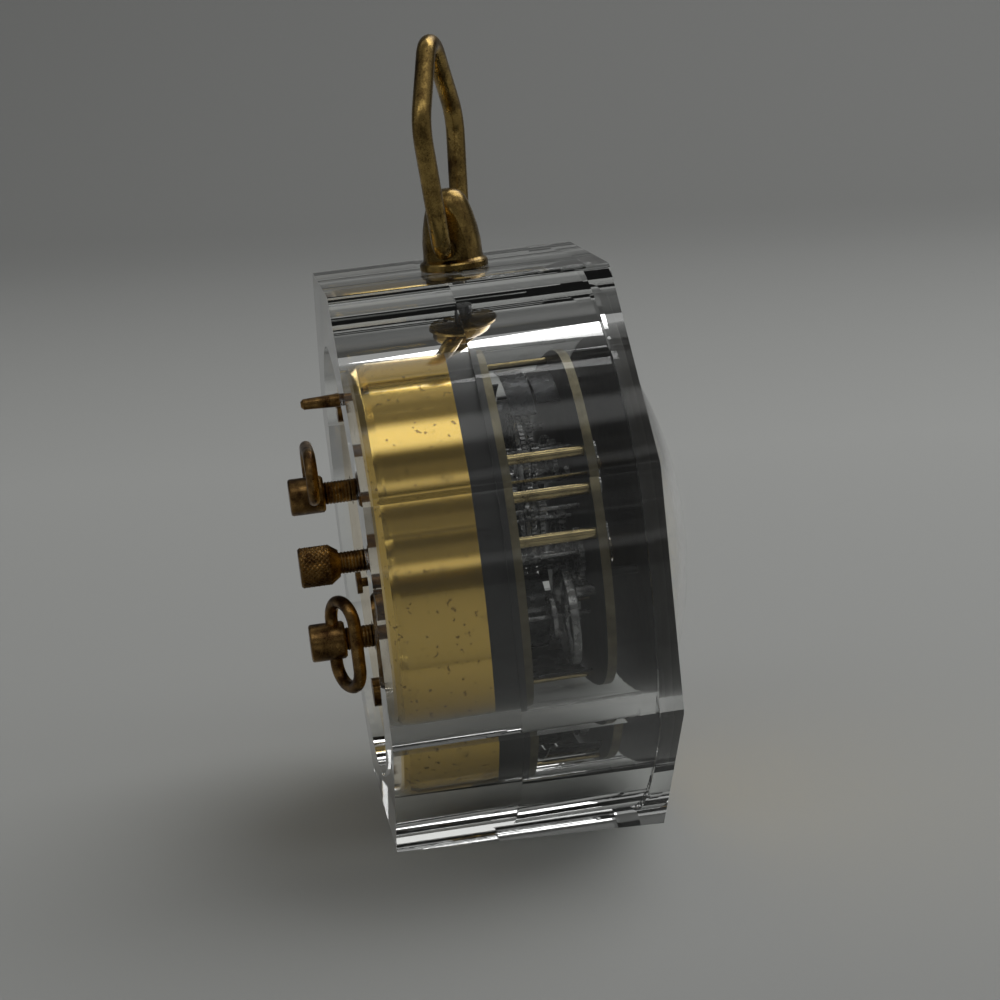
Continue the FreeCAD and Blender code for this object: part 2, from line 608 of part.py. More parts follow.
for side_sign in (-1, 1):
    across, along = side_sign * math.sin(swing), math.cos(swing)
    wedge_points.append(Vector(2 * reach * across, slot_low, 2 * reach * along))
wedge = Part.Face(Part.makePolygon(wedge_points + wedge_points[:1]))
wedge = wedge.extrude(Vector(0, slot_high - slot_low, 0))
ends = [disc(slot_half, slot_low, slot_high, sign * reach * math.sin(swing), reach * math.cos(swing))
        for sign in (-1, 1)]
slot = feature("regulator_slot", slot_ring.common(wedge).fuse(ends))
slot.Placement = Placement(Vector(sizes["balance_x"], 0, sizes["balance_z"]), Rotation())
cover_tools = doc.addObject("Part::MultiFuse", "cover_tools")
cover_tools.Shapes = cover_holes + [slot]
cover = doc.addObject("Part::Cut", "cover_cut")
cover.Base = cup
cover.Tool = cover_tools
node(cover, "bell_cover")


def screw(head_r, head_thick, shank_r, shank_length):
    """Slotted cheese-head screw along Y, its head on the +Y side of the face at y = 0."""
    body = disc(head_r, 0, head_thick).fuse(disc(shank_r, -shank_length, 0))
    slot_width = sizes["screw_slot"]
    cut_depth = head_thick * slot_depth_share
    corner = Vector(-head_r, head_thick - cut_depth, -slot_width / 2)
    return body.cut(Part.makeBox(2 * head_r, cut_depth, slot_width, corner))


def on_places(shape, places, y, turns):
    """Equal solids of one sub-part at (x, z) places, each with its own turn about Y."""
    copies = []
    for (x, z), turn in zip(places, turns):
        piece = shape.copy()
        piece.rotate(Vector(0, 0, 0), Vector(0, 1, 0), turn)
        piece.translate(Vector(x, y, z))
        copies.append(piece)
    return Part.makeCompound(copies)


def orbit_places(orbit, angles):
    """(x, z) places on a circle round the axis."""
    return [(on_orbit(orbit, angle).x, on_orbit(orbit, angle).z) for angle in angles]


screw_turns = (20, 75, 130)
posts = rods_on_orbit("cover_post", "cover_post_r", "rear_plate_y", "cover_y - cover_wall - rear_plate_y",
                      "cover_post_orbit", cover_angles)
post_holes = rods_on_orbit("cover_post_hole", "thread_r", "cover_y - cover_wall - thread_depth",
                           "thread_depth + overrun", "cover_post_orbit", cover_angles)
posts_cut = doc.addObject("Part::Cut", "cover_posts_cut")
posts_cut.Base = posts
posts_cut.Tool = post_holes
node(posts_cut, "cover_posts")
cover_screw = screw(sizes["screw_head_r"], sizes["screw_head_thick"], sizes["thread_r"],
                    number("cover_wall + thread_depth - fit_gap"))
node(feature("cover_screws", on_places(cover_screw, orbit_places("cover_post_orbit", cover_angles),
                                       sizes["cover_y"], screw_turns)), "cover_screws")

# Movement: dark ring in the bore, two plates with their holes, pillars, nuts and screws
ring_inner = "cup_r - ring_wall"
node(turned("movement_ring", [
    (ring_inner, "rear_plate_y"), ("front_bore_r - fit_gap", "rear_plate_y"),
    ("front_bore_r - fit_gap", "step_y"), ("cup_r", "step_y"), ("cup_r", "cover_rim_y"),
    (ring_inner, "cover_rim_y"),
]), "movement_ring")
pillar_angles = (82, 150, 165, 254, 318)


def plate(name, radius, y, holes):
    """Round movement plate with holes given as (x, z, radius)."""
    body = doc.addObject("PartDesign::Body", name + "_body")
    pad_on(body, name + "_pad", [], y, "plate_thick", [("0", "0", radius)] + holes)
    return body


train = ("third", "fourth", "escape", "bell", "balance")
pivot_holes = [(name + "_x", name + "_z", "pivot_thin_r + run_gap") for name in train]
barrel_holes = [(name + "_x", name + "_z", "arbor_r + run_gap") for name in ("time", "alarm")]
rear_plate = plate("rear_plate", "rear_plate_r", "rear_plate_y", pivot_holes + barrel_holes + [
    ("0", "0", "arbor_r + run_gap"), ("verge_x", "verge_z", "hammer_shaft_r + run_gap"),
    ("0", "stop_z", "stop_r + fit_gap"),
])
bush_end = number("rear_plate_y + fit_gap*2 + regulator_thick")
bush = disc(sizes["balance_bush_r"], sizes["rear_plate_y"], bush_end)
bush = bush.cut(disc(number("pivot_thin_r + run_gap"), sizes["rear_plate_y"], sizes["rear_y"]))
bush = feature("balance_bush", bush)
bush.Placement = Placement(Vector(sizes["balance_x"], 0, sizes["balance_z"]), Rotation())
rear_fused = doc.addObject("Part::Fuse", "rear_plate_with_bush")
rear_fused.Base = rear_plate
rear_fused.Tool = bush
node(rear_fused, "rear_plate")
front_plate = plate("front_plate", "front_plate_r", "front_plate_y", pivot_holes + barrel_holes + [
    ("0", "0", "pipe_r + run_gap"), ("verge_x", "verge_z", "pivot_thin_r + run_gap"),
    ("minute_x", "minute_z", "stud_post_r"), ("lever_x", "lever_z", "pivot_thin_r + run_gap"),
])
pillars = rods_on_orbit("movement_pillar", "pillar_r", "front_plate_y", "plate_gap", "pillar_orbit",
                        pillar_angles)
node(pillars, "movement_pillars")
hexagon = [Vector(sizes["nut_r"] * math.cos(math.pi / 3 * n), 0, sizes["nut_r"] * math.sin(math.pi / 3 * n))
           for n in range(6)]
nut = Part.Face(Part.makePolygon(hexagon + hexagon[:1])).extrude(Vector(0, sizes["nut_thick"], 0))
nuts = on_places(nut, orbit_places("pillar_orbit", pillar_angles), sizes["rear_plate_y"], pillar_angles)
node(feature("pillar_nuts", nuts), "pillar_nuts")
node(rods_on_orbit("plate_screw", "plate_screw_r", "works_y - plate_screw_thick", "plate_screw_thick",
                   "pillar_orbit", pillar_angles), "plate_screws")

# Dial side: dial with raised hour marks and feet, bezel ring and domed crystal
dial_feet = rods_on_orbit("dial_foot", "dial_foot_r", "seat_y", "works_y - seat_y", "dial_foot_orbit",
                          (60, 180, 300))
dial = doc.addObject("Part::Fuse", "dial_with_feet")
dial.Base = turned("dial", ring_profile("dial_hole_r", "seat_r - fit_gap", "dial_y", "seat_y"))
dial.Tool = dial_feet
node(dial, "dial")
mark = Part.makeBox(2 * sizes["mark_half"], sizes["mark_thick"], sizes["mark_length"],
                    Vector(-sizes["mark_half"], -sizes["mark_thick"], number("mark_reach - mark_length")))
hour_marks = on_places(mark, [(0, 0)] * 12, sizes["dial_y"], [30 * hour for hour in range(12)])
node(feature("hour_marks", hour_marks), "hour_marks")
bezel_front = "front_y - bezel_proud"
node(turned("bezel_ring", [
    ("seat_r - fit_gap", "dial_y"), ("crystal_r + fit_gap", "dial_y"),
    ("crystal_r + fit_gap", bezel_front + " + bezel_lip"), ("bezel_inner_r", bezel_front + " + bezel_lip"),
    ("bezel_inner_r", bezel_front), ("seat_r - fit_gap - bezel_lip/2", bezel_front),
    ("seat_r - fit_gap", bezel_front + " + bezel_lip/2"),
]), "bezel_ring")


def dome(radius, rim_y, top_y, steps):
    """Points of a spherical dome from its top on the axis to its rim."""
    rise = rim_y - top_y
    ball_r = (radius ** 2 + rise ** 2) / (2 * rise)
    angles = [math.asin(radius / ball_r) * step / steps for step in range(steps + 1)]
    return [Vector(ball_r * math.sin(angle), top_y + ball_r * (1 - math.cos(angle)), 0) for angle in angles]


dome_steps = 6
lip_y = number(bezel_front + " + bezel_lip")
top_y = number("front_y - dome_height")
inside = dome(sizes["dome_inner_r"], sizes["dial_y"], top_y + sizes["dome_wall"], dome_steps - 1)
flange = [Vector(sizes["crystal_r"], sizes["dial_y"], 0), Vector(sizes["crystal_r"], lip_y, 0)]
outside = dome(sizes["dome_rim_r"], lip_y, top_y, dome_steps)
outline = inside + flange + outside[::-1]
crystal_face = Part.Face(Part.makePolygon(outline + outline[:1]))
node(feature("crystal", crystal_face.revolve(Vector(0, 0, 0), Vector(0, 1, 0), 360)), "crystal")


# Winding: keys with their bows, arbors, ratchets, clicks and barrels
def winding(name, stop_phase):
    """Key, bow, arbor, ratchet, click, great wheel and barrel of one spring."""
    x, z = name + "_x", name + "_z"
    hub_low = "rear_y + hub_proud - hub_length"
    hub_high = "rear_y + hub_proud"
    shank_low = "cover_y - shank_depth"
    key_body = turned(name + "_key", [
        ("0", shank_low + " + shank_bore"), ("arbor_r", shank_low + " + shank_bore"), ("arbor_r", shank_low),
        ("shank_r", shank_low), ("shank_r", hub_low), ("hub_r - hub_bevel", hub_low),
        ("hub_r", hub_low + " + hub_bevel"), ("hub_r", hub_high + " - hub_bevel"),
        ("hub_r - hub_bevel", hub_high), ("0", hub_high),
    ])
    strand_turn = Rotation(Vector(0, 1, 0), sizes[name + "_bow_turn_angle"])
    hole_y = number(hub_low + " + bow_hole_inset")
    across = Part.makeCylinder(number("bow_wire_r + run_gap"), 4 * sizes["hub_r"],
                               Vector(-2 * sizes["hub_r"], 0, 0), Vector(1, 0, 0))
    across.Placement = Placement(Vector(0, hole_y, 0), strand_turn)
    key = doc.addObject("Part::Cut", name + "_key_cut")
    key.Base = key_body
    key.Tool = feature(name + "_key_hole", across)
    node(key, name + "_key", x, z)
    half = sizes["bow_length"] / 2
    width = sizes["bow_width"]
    corners = [Vector(half, 0, 0), Vector(half, 0, width), Vector(-half, 0, width), Vector(-half, 0, 0)]
    bow_path = bent_path(corners, [sizes["bow_round"]] * 4, bend_chords, closed=True)
    bow = wire_along(bow_path, sizes["bow_wire_r"])
    fold = Rotation(Vector(1, 0, 0), sizes[name + "_bow_fold_angle"])
    bow.Placement = Placement(Vector(0, hole_y, 0), strand_turn.multiply(fold))
    node(feature(name + "_bow", Part.makeCompound([bow])), name + "_key_bow", x, z)
    low = number("rear_plate_y + fit_gap")
    high = low + sizes["ratchet_thick"]
    arbor = disc(sizes["arbor_r"], sizes["works_y"], number(shank_low + " + shank_bore"))
    arbor = arbor.fuse(ratchet_wheel(low, high))
    node(feature(name + "_arbor", arbor), name + "_winding_arbor", x, z)
    great_low, great_high = level("great_level", "great_thick")
    great = gear(int(sizes["great_teeth"]), sizes["great_module"], great_low, great_high, stop_phase)
    great = great.cut(disc(number("arbor_r + run_gap"), great_low, great_high))
    node(feature(name + "_great_wheel", great), name + "_great_wheel", x, z)
    drum_low = great_low - sizes["drum_depth"]
    drum = disc(sizes["drum_r"], drum_low, great_low)
    drum = drum.cut(disc(number("arbor_r + run_gap"), drum_low, great_low))
    node(feature(name + "_barrel", drum), name + "_barrel", x, z)


def ratchet_wheel(low, high):
    """Saw-toothed wheel on a winding arbor."""
    count = int(sizes["ratchet_teeth"])
    points = []
    pitch = 2 * math.pi / count
    for tooth in range(count):
        angle = pitch * tooth
        for radius, turn in ((sizes["ratchet_root_r"], 0), (sizes["ratchet_r"], saw_share * pitch)):
            points.append(Vector(radius * math.cos(angle + turn), low, radius * math.sin(angle + turn)))
    face = Part.Face(Part.makePolygon(points + points[:1]))
    return face.extrude(Vector(0, high - low, 0)).cut(disc(sizes["arbor_r"], low, high))


def click(name, angle):
    """Pawl that rides on the tips of a ratchet, with its shoulder screw in the rear plate."""
    low = number("rear_plate_y + fit_gap")
    high = low + sizes["ratchet_thick"]
    half = sizes["click_half"]
    length = sizes["click_length"]
    outline = [Vector(-half, low, half), Vector(-half, low, -half), Vector(length, low, -half),
               Vector(length - 2 * half, low, half)]
    pawl = Part.Face(Part.makePolygon(outline + outline[:1])).extrude(Vector(0, high - low, 0))
    pawl = pawl.fuse(disc(half * click_eye_share, low, high))
    pawl = pawl.cut(disc(number("click_pin_r + run_gap"), low, high))
    turn = math.radians(angle)
    radial = Vector(math.cos(turn), 0, math.sin(turn))
    along = Vector(-math.sin(turn), 0, math.cos(turn))
    at = radial * number("ratchet_r + click_gap + click_half") + along * length
    sizes[name + "_click_x"] = sizes[name + "_x"] + at.x
    sizes[name + "_click_z"] = sizes[name + "_z"] + at.z
    x, z = name + "_click_x", name + "_click_z"
    node(feature(name + "_click", pawl), name + "_click", x, z, Rotation(Vector(0, 1, 0), 90 - angle))
    pin = disc(sizes["click_pin_r"], sizes["rear_plate_y"], high + sizes["fit_gap"])
    head = disc(half * click_eye_share, high + sizes["fit_gap"], high + number("fit_gap + click_head"))
    pins.append(pin.fuse(head))
    pin_places.append((sizes[x], sizes[z]))


pins = []
pin_places = []
center_phase = 0.0
winding("time", mesh_phase("center", "time", sizes["center_leaves"], sizes["great_teeth"], center_phase))
winding("alarm", 0.0)
click("time", 180)
click("alarm", 0)
for pin, (x, z) in zip(pins, pin_places):
    pin.translate(Vector(x, 0, z))
node(feature("click_screws", Part.makeCompound(pins)), "click_screws")


# Going train, each wheel pressed on its arbor
def spaced_shaft(radius, pivot_r):
    """Arbor between the plates, with thinner pivots through both of them."""
    shaft = disc(radius, number("front_plate_y + fit_gap"), number("inner_y - fit_gap"))
    return shaft.fuse(disc(pivot_r, sizes["works_y"], sizes["rear_plate_y"]))


def train_wheel(name, teeth, module, level_name, arms, phase, bore):
    """Crossed-out wheel of the going train."""
    low, high = level(level_name)
    wheel = gear(int(sizes[teeth]), sizes[module], low, high, phase)
    wheel = crossed_out(wheel, sizes[teeth] * sizes[module] / 2, low, high, arms, sizes[bore])
    return feature(name, wheel)


def train_pinion(name, count, module, level_name, thick, phase):
    """Arbor with its pivots and the pinion cut on it."""
    low, high = level(level_name, thick)
    half = sizes["leaf_overhang"] / 2
    shaft = spaced_shaft(sizes["thin_arbor_r"], sizes["pivot_thin_r"])
    return feature(name, shaft.fuse(leaves(int(sizes[count]), sizes[module], low - half, high + half, phase)))


center_low, center_high = level("great_level", "great_thick")
half_overhang = sizes["leaf_overhang"] / 2
center_pipe = disc(sizes["pipe_r"], number("works_y"), number("inner_y - fit_gap"))
center_leaf = leaves(int(sizes["center_leaves"]), sizes["great_module"], center_low - half_overhang,
                     center_high + half_overhang, center_phase)
center_pipe = center_pipe.fuse(center_leaf).cut(disc(number("arbor_r + run_gap"), number("works_y - overrun"),
                                                     number("inner_y + overrun")))
node(feature("center_pinion", center_pipe), "center_pinion")
center_wheel = train_wheel("center_wheel", "center_teeth", "third_module", "center_level", 4, 0.0, "pipe_r")
node(center_wheel, "center_wheel")
third_phase = mesh_phase("center", "third", sizes["center_teeth"], sizes["third_leaves"], 0.0)
node(train_pinion("third_pinion", "third_leaves", "third_module", "center_level", "wheel_thick", third_phase),
     "third_pinion", "third_x", "third_z")
node(train_wheel("third_wheel", "third_teeth", "fourth_module", "third_level", 4, 0.0, "thin_arbor_r"),
     "third_wheel", "third_x", "third_z")
fourth_phase = mesh_phase("third", "fourth", sizes["third_teeth"], sizes["fourth_leaves"], 0.0)
fourth_pinion = train_pinion("fourth_pinion", "fourth_leaves", "fourth_module", "third_level", "wheel_thick",
                             fourth_phase)
node(fourth_pinion, "fourth_pinion", "fourth_x", "fourth_z")
node(train_wheel("fourth_wheel", "fourth_teeth", "escape_module", "fourth_level", 4, 0.0, "thin_arbor_r"),
     "fourth_wheel", "fourth_x", "fourth_z")
escape_phase = mesh_phase("fourth", "escape", sizes["fourth_teeth"], sizes["escape_leaves"], 0.0)
escape_pinion = train_pinion("escape_pinion", "escape_leaves", "escape_module", "fourth_level", "wheel_thick",
                             escape_phase)
node(escape_pinion, "escape_pinion", "escape_x", "escape_z")
escape_low, escape_high = level("escape_level")
escape_fills = (root_fill_share, escape_tip_share)
escape_blank = tooth_ring(int(sizes["escape_teeth"]), sizes["escape_r"], sizes["escape_root_r"], escape_fills,
                          escape_low, escape_high, 0.0)
escape_wheel = crossed_out(escape_blank, sizes["escape_root_r"], escape_low, escape_high, 3,
                           sizes["thin_arbor_r"])
node(feature("escape_wheel", escape_wheel), "escape_wheel", "escape_x", "escape_z")


# Escapement: pin lever, its cock and banking pins, balance with staff and roller, hairspring and its stud
def heading(first, second):
    """Angle, from X towards Z, of the way from one arbor to another."""
    return math.atan2(sizes[second + "_z"] - sizes[first + "_z"], sizes[second + "_x"] - sizes[first + "_x"])


def bar(start, length, half, low, high, angle):
    """Flat bar from a distance along a direction in the plane of the wheels."""
    piece = Part.makeBox(length, high - low, 2 * half, Vector(start, low, -half))
    piece.rotate(Vector(0, 0, 0), Vector(0, 1, 0), -math.degrees(angle))
    return piece


def pin_reach(centre_span, arm, distance):
    """Half angle between two pins that stand at a distance from the wheel's centre."""
    return math.acos((centre_span ** 2 + arm ** 2 - distance ** 2) / (2 * centre_span * arm))


def pallets(arm, span, wheel_r, swing_angle, low, high, angle, pin_depth):
    """Two arms whose pins stand just outside the circle of the teeth through the whole swing."""
    clear = wheel_r + sizes["pallet_pin_r"] + sizes["pallet_clear"] + arm * math.radians(swing_angle)
    half = pin_reach(span, arm, clear)
    piece = None
    for side_sign in (1, -1):
        turn = angle + side_sign * half
        limb = bar(0, arm + sizes["pallet_pin_r"] * 2, sizes["lever_half"], low, high, turn)
        pin = disc(sizes["pallet_pin_r"], low - pin_depth, low, arm * math.cos(turn), arm * math.sin(turn))
        limb = limb.fuse(pin)
        piece = limb if piece is None else piece.fuse(limb)
    return piece


lever_low = escape_high + sizes["fit_gap"]
lever_high = lever_low + sizes["lever_thick"]
to_balance = heading("lever", "balance")
to_escape = heading("lever", "escape")
lever_span = math.hypot(sizes["escape_x"] - sizes["lever_x"], sizes["escape_z"] - sizes["lever_z"])
fork_reach = lever_span - sizes["fork_clear"]
pin_depth = number("wheel_thick + fit_gap")
lever = pallets(sizes["lever_arm"], lever_span, sizes["escape_r"], sizes["lever_swing_angle"], lever_low,
                lever_high, to_escape, pin_depth)
lever = lever.fuse(bar(0, fork_reach, sizes["lever_half"], lever_low, lever_high, to_balance))
lever = lever.fuse(bar(fork_reach - sizes["fork_length"], sizes["fork_length"], sizes["fork_half"], lever_low,
                       lever_high, to_balance))
fork_slot = number("impulse_r + fit_gap")
lever = lever.cut(bar(fork_reach - sizes["fork_length"] / 2, sizes["fork_length"], fork_slot, lever_low,
                      lever_high, to_balance))
cock_high = number("inner_y - balance_level - balance_thick - swing_gap")
cock_low = cock_high - sizes["cock_thick"]
lever_arbor = disc(sizes["thin_arbor_r"], number("front_plate_y + fit_gap"), cock_low - sizes["fit_gap"])
lever_arbor = lever_arbor.fuse(disc(sizes["pivot_thin_r"], sizes["works_y"], cock_high))
node(feature("pallet_lever", lever.fuse(lever_arbor)), "pallet_lever", "lever_x", "lever_z")
cock_way = to_escape + math.pi / 2
cock_foot = Vector(math.cos(cock_way), 0, math.sin(cock_way)) * sizes["cock_reach"]
cock = bar(0, sizes["cock_reach"], sizes["cock_half"], cock_low, cock_high, cock_way)
cock = cock.fuse([disc(sizes["cock_half"], cock_low, cock_high),
                  disc(sizes["cock_half"], sizes["front_plate_y"], cock_high, cock_foot.x, cock_foot.z)])
cock = cock.cut(disc(number("pivot_thin_r + run_gap"), cock_low, cock_high))
node(feature("pallet_cock", cock), "pallet_cock", "lever_x", "lever_z")
banks = []
for side_sign in (1, -1):
    lateral = side_sign * (number("lever_half + banking_r + fit_gap")
                           + sizes["banking_reach"] * math.radians(sizes["lever_swing_angle"]))
    turn = to_balance + math.atan2(lateral, sizes["banking_reach"])
    reach = math.hypot(lateral, sizes["banking_reach"])
    banks.append(disc(sizes["banking_r"], sizes["front_plate_y"], lever_high, reach * math.cos(turn),
                      reach * math.sin(turn)))
banking = feature("banking_pins", Part.makeCompound(banks))
banking.Placement = Placement(Vector(sizes["lever_x"], 0, sizes["lever_z"]), Rotation())

balance_low, balance_high = level("balance_level", "balance_thick")
rim = disc(sizes["balance_r"], balance_low, balance_high)
rim = rim.cut(disc(number("balance_r - balance_rim"), balance_low, balance_high))
web_low = balance_low + sizes["balance_thick"] * web_share
web_high = web_low + sizes["balance_thick"] * web_share
spokes = [bar(0, number("balance_r - balance_rim/2"), sizes["balance_arm_half"], web_low, web_high,
              2 * math.pi * arm / 3) for arm in range(3)]
balance = rim.fuse(spokes + [disc(number("roller_r"), web_low, web_high)])
balance = balance.cut(disc(sizes["thin_arbor_r"], balance_low, balance_high))
node(feature("balance_wheel", balance), "balance_wheel", "balance_x", "balance_z")
roller_low = lever_high + sizes["fit_gap"]
away = heading("balance", "lever") + math.pi
impulse = disc(sizes["impulse_r"], lever_low, roller_low, sizes["impulse_orbit"] * math.cos(away),
               sizes["impulse_orbit"] * math.sin(away))
collet_low = number("inner_y - hairspring_level - spring_height")
staff = spaced_shaft(sizes["thin_arbor_r"], sizes["pivot_thin_r"])
staff = staff.fuse([disc(sizes["roller_r"], roller_low, roller_low + sizes["roller_thick"]), impulse,
                    disc(number("spring_inner_r - spring_strip/2 - run_gap"), collet_low,
                         number("inner_y - hairspring_level"))])
node(feature("balance_staff", staff), "balance_staff", "balance_x", "balance_z")


def spiral(inner, pitch, half_turns, y):
    """Planar spiral of tangent half circles whose radius grows by half the pitch at each one."""
    edges = []
    points = []
    radius = inner
    centre = 0.0
    for step in range(half_turns):
        sign = 1 if step % 2 == 0 else -1
        start = Vector(centre + sign * radius, y, 0)
        middle = Vector(centre, y, sign * radius)
        end = Vector(centre - sign * radius, y, 0)
        arc = Part.Arc(start, middle, end).toShape()
        edges.append(arc)
        points.append(arc.discretize(24))
        centre += sign * pitch / 2
        radius += pitch / 2
    return Part.Wire(edges), points


half_turns = 2 * int(sizes["spring_turns"])
spring_y = number("inner_y - hairspring_level - spring_height/2")
coil, coil_points = spiral(sizes["spring_inner_r"], sizes["spring_pitch"], half_turns, spring_y)
start = coil.Edges[0].valueAt(coil.Edges[0].FirstParameter)
strip = Part.makePlane(sizes["spring_height"], sizes["spring_strip"],
                       Vector(start.x - sizes["spring_strip"] / 2, spring_y - sizes["spring_height"] / 2, 0),
                       Vector(0, 0, 1), Vector(0, 1, 0))
section = Part.Wire(Part.__sortEdges__(strip.Edges))
section.translate(start - section.BoundBox.Center)
hairspring = feature("hairspring", coil.makePipeShell([section], True, False))
node(hairspring, "hairspring", "balance_x", "balance_z")
gaps = [(first - second).Length for count, loop in enumerate(coil_points) for first in loop
        for later in coil_points[count + 2:count + 3] for second in later]
print("hairspring: least gap between loops %.2f mm" % (min(gaps) - sizes["spring_strip"]))
outer = coil.Edges[-1].valueAt(coil.Edges[-1].LastParameter)
stud_block = Part.makeBox(2 * sizes["stud_half"], number("hairspring_level + spring_height + fit_gap"),
                          2 * sizes["stud_half"], Vector(outer.x - sizes["stud_half"],
                          number("inner_y - hairspring_level - spring_height - fit_gap"), outer.z))
node(feature("hairspring_stud", stud_block), "hairspring_stud", "balance_x", "balance_z")

# Hands and motion work: one friction-driven arbor carries the knob, the cannon pinion and the minute hand
knob_low = "rear_y + knob_proud - knob_length"
knob_high = "rear_y + knob_proud"
arbor_end = number(knob_low + " + knob_length/2")
arbor_tip = number("minute_hand_y - hand_thick - arbor_proud")
node(feature("center_arbor", disc(sizes["arbor_r"], arbor_tip, arbor_end)), "center_arbor")
node(turned("set_knob", [
    ("arbor_r", knob_low + " + knob_length/2"), ("arbor_r", "cover_y - shank_depth"),
    ("knob_shank_r", "cover_y - shank_depth"), ("knob_shank_r", knob_low),
    ("knob_r - knob_taper*%.2f" % knob_taper_share, knob_low),
    ("knob_r", knob_low + " + knob_taper"), ("knob_r", knob_high + " - knob_bevel"),
    ("knob_r - knob_bevel", knob_high), ("0", knob_high), ("0", knob_low + " + knob_length/2"),
]), "set_knob")
motion_high = number("works_y - motion_level")
motion_low = motion_high - sizes["wheel_thick"]
hour_high = number("works_y - hour_level")
hour_low = hour_high - sizes["wheel_thick"]
cannon_leaf = leaves(int(sizes["cannon_leaves"]), sizes["cannon_module"], motion_low - half_overhang,
                     motion_high + half_overhang, 0.0)
cannon = cannon_leaf.fuse(disc(sizes["cannon_pipe_r"], sizes["minute_hand_y"], motion_high))
cannon = cannon.cut(disc(sizes["arbor_r"], arbor_tip, sizes["works_y"]))
node(feature("cannon", cannon), "cannon_pinion")
stud_tip = hour_low - half_overhang - sizes["fit_gap"]
minute_stud = disc(sizes["stud_post_r"], stud_tip, sizes["front_plate_y"])
minute_stud = feature("minute_wheel_stud", minute_stud)
minute_stud.Placement = Placement(Vector(sizes["minute_x"], 0, sizes["minute_z"]), Rotation())
front_fused = doc.addObject("Part::MultiFuse", "front_plate_with_pins")
front_fused.Shapes = [front_plate, banking, minute_stud]
node(front_fused, "front_plate")
minute_phase = mesh_phase("center", "minute", sizes["cannon_leaves"], sizes["minute_teeth"], 0.0)
minute_wheel = gear(int(sizes["minute_teeth"]), sizes["cannon_module"], motion_low, motion_high, minute_phase)
minute_leaf = leaves(int(sizes["minute_leaves"]), sizes["hour_module"], hour_low - half_overhang,
                     motion_low, 0.0)
minute_bore = disc(number("stud_post_r + run_gap"), stud_tip, sizes["works_y"])
minute_wheel = minute_wheel.fuse(minute_leaf).cut(minute_bore)
node(feature("minute_wheel", minute_wheel), "minute_wheel", "minute_x", "minute_z")
hour_phase = mesh_phase("minute", "center", sizes["minute_leaves"], sizes["hour_teeth"], 0.0)
hour_wheel = gear(int(sizes["hour_teeth"]), sizes["hour_module"], hour_low, hour_high, hour_phase)
hour_wheel = hour_wheel.fuse(disc(sizes["hour_pipe_r"], number("hour_hand_y - hand_thick/2"), hour_low))
hour_wheel = hour_wheel.cut(disc(number("cannon_pipe_r + run_gap"), arbor_tip, sizes["works_y"]))
node(feature("hour_wheel", hour_wheel), "hour_wheel")
alarm_high = number("works_y - alarm_disc_level")
alarm_low = alarm_high - sizes["wheel_thick"]
alarm_disc = disc(sizes["alarm_disc_r"], alarm_low, alarm_high)
notch = Part.makeBox(sizes["alarm_disc_r"], sizes["wheel_thick"], sizes["wheel_thick"],
                     Vector(sizes["alarm_pipe_r"] * 2, alarm_low, -sizes["wheel_thick"] / 2))
alarm_pipe = disc(sizes["alarm_pipe_r"], number("alarm_hand_y - hand_thick/2"), alarm_low)
alarm_disc = alarm_disc.cut(notch).fuse(alarm_pipe)
alarm_disc = alarm_disc.cut(disc(number("hour_pipe_r + run_gap"), arbor_tip, hour_low))
node(feature("alarm_disc", alarm_disc), "alarm_disc")


def hand(name, reach, half, bore, y, angle):
    """Tapering hand with a round hub and a short tail, pressed on its pipe."""
    low = number(y + " - hand_thick")
    high = number(y)
    tail = sizes["hand_tail"]
    points = [Vector(-half * hand_tip_share, low, -tail), Vector(half * hand_tip_share, low, -tail),
              Vector(half, low, reach * hand_belly_share), Vector(0, low, reach),
              Vector(-half, low, reach * hand_belly_share)]
    blade = Part.Face(Part.makePolygon(points + points[:1])).extrude(Vector(0, high - low, 0))
    blade = blade.fuse(disc(sizes["hand_hub_r"] + bore - sizes["arbor_r"], low, high))
    blade = blade.cut(disc(bore, low, high))
    blade.rotate(Vector(0, 0, 0), Vector(0, 1, 0), angle)
    node(feature(name, blade), name)


hand("minute_hand", sizes["minute_reach"], sizes["minute_half"], sizes["arbor_r"], "minute_hand_y", 60)
hand("hour_hand", sizes["hour_reach"], sizes["hour_half"], sizes["hour_pipe_r"], "hour_hand_y", -55)
hand("alarm_hand", sizes["alarm_reach"], sizes["alarm_half"], sizes["alarm_pipe_r"], "alarm_hand_y", 180)

# Alarm: wheel driven by the alarm barrel, and the hammer that beats on the cover from inside
bell_phase = mesh_phase("alarm", "bell", sizes["great_teeth"], sizes["alarm_leaves"], 0.0)
bell_low, bell_high = level("bell_level")
alarm_blank = tooth_ring(int(sizes["alarm_escape_teeth"]), sizes["alarm_escape_r"],
                         sizes["alarm_escape_root_r"], escape_fills, bell_low, bell_high, 0.0)
node(feature("alarm_escape_wheel", alarm_blank.cut(disc(sizes["thin_arbor_r"], bell_low, bell_high))),
     "alarm_escape_wheel", "bell_x", "bell_z")
node(train_pinion("alarm_pinion", "alarm_leaves", "great_module", "great_level", "great_thick", bell_phase),
     "alarm_pinion", "bell_x", "bell_z")
to_bell = heading("verge", "bell")
verge_low = bell_high + sizes["fit_gap"]
verge = pallets(sizes["verge_arm"], sizes["verge_distance"], sizes["alarm_escape_r"],
                sizes["hammer_swing_angle"], verge_low, verge_low + sizes["lever_thick"], to_bell, pin_depth)
shaft_low = number("front_plate_y + fit_gap")
verge_shaft = disc(sizes["hammer_shaft_r"], shaft_low, sizes["hammer_level_y"])
verge_shaft = verge_shaft.fuse(disc(sizes["pivot_thin_r"], sizes["works_y"], shaft_low))
node(feature("hammer_arbor", verge_shaft.fuse(verge)), "hammer_arbor", "verge_x", "verge_z")
hammer_way = heading("verge", "head")
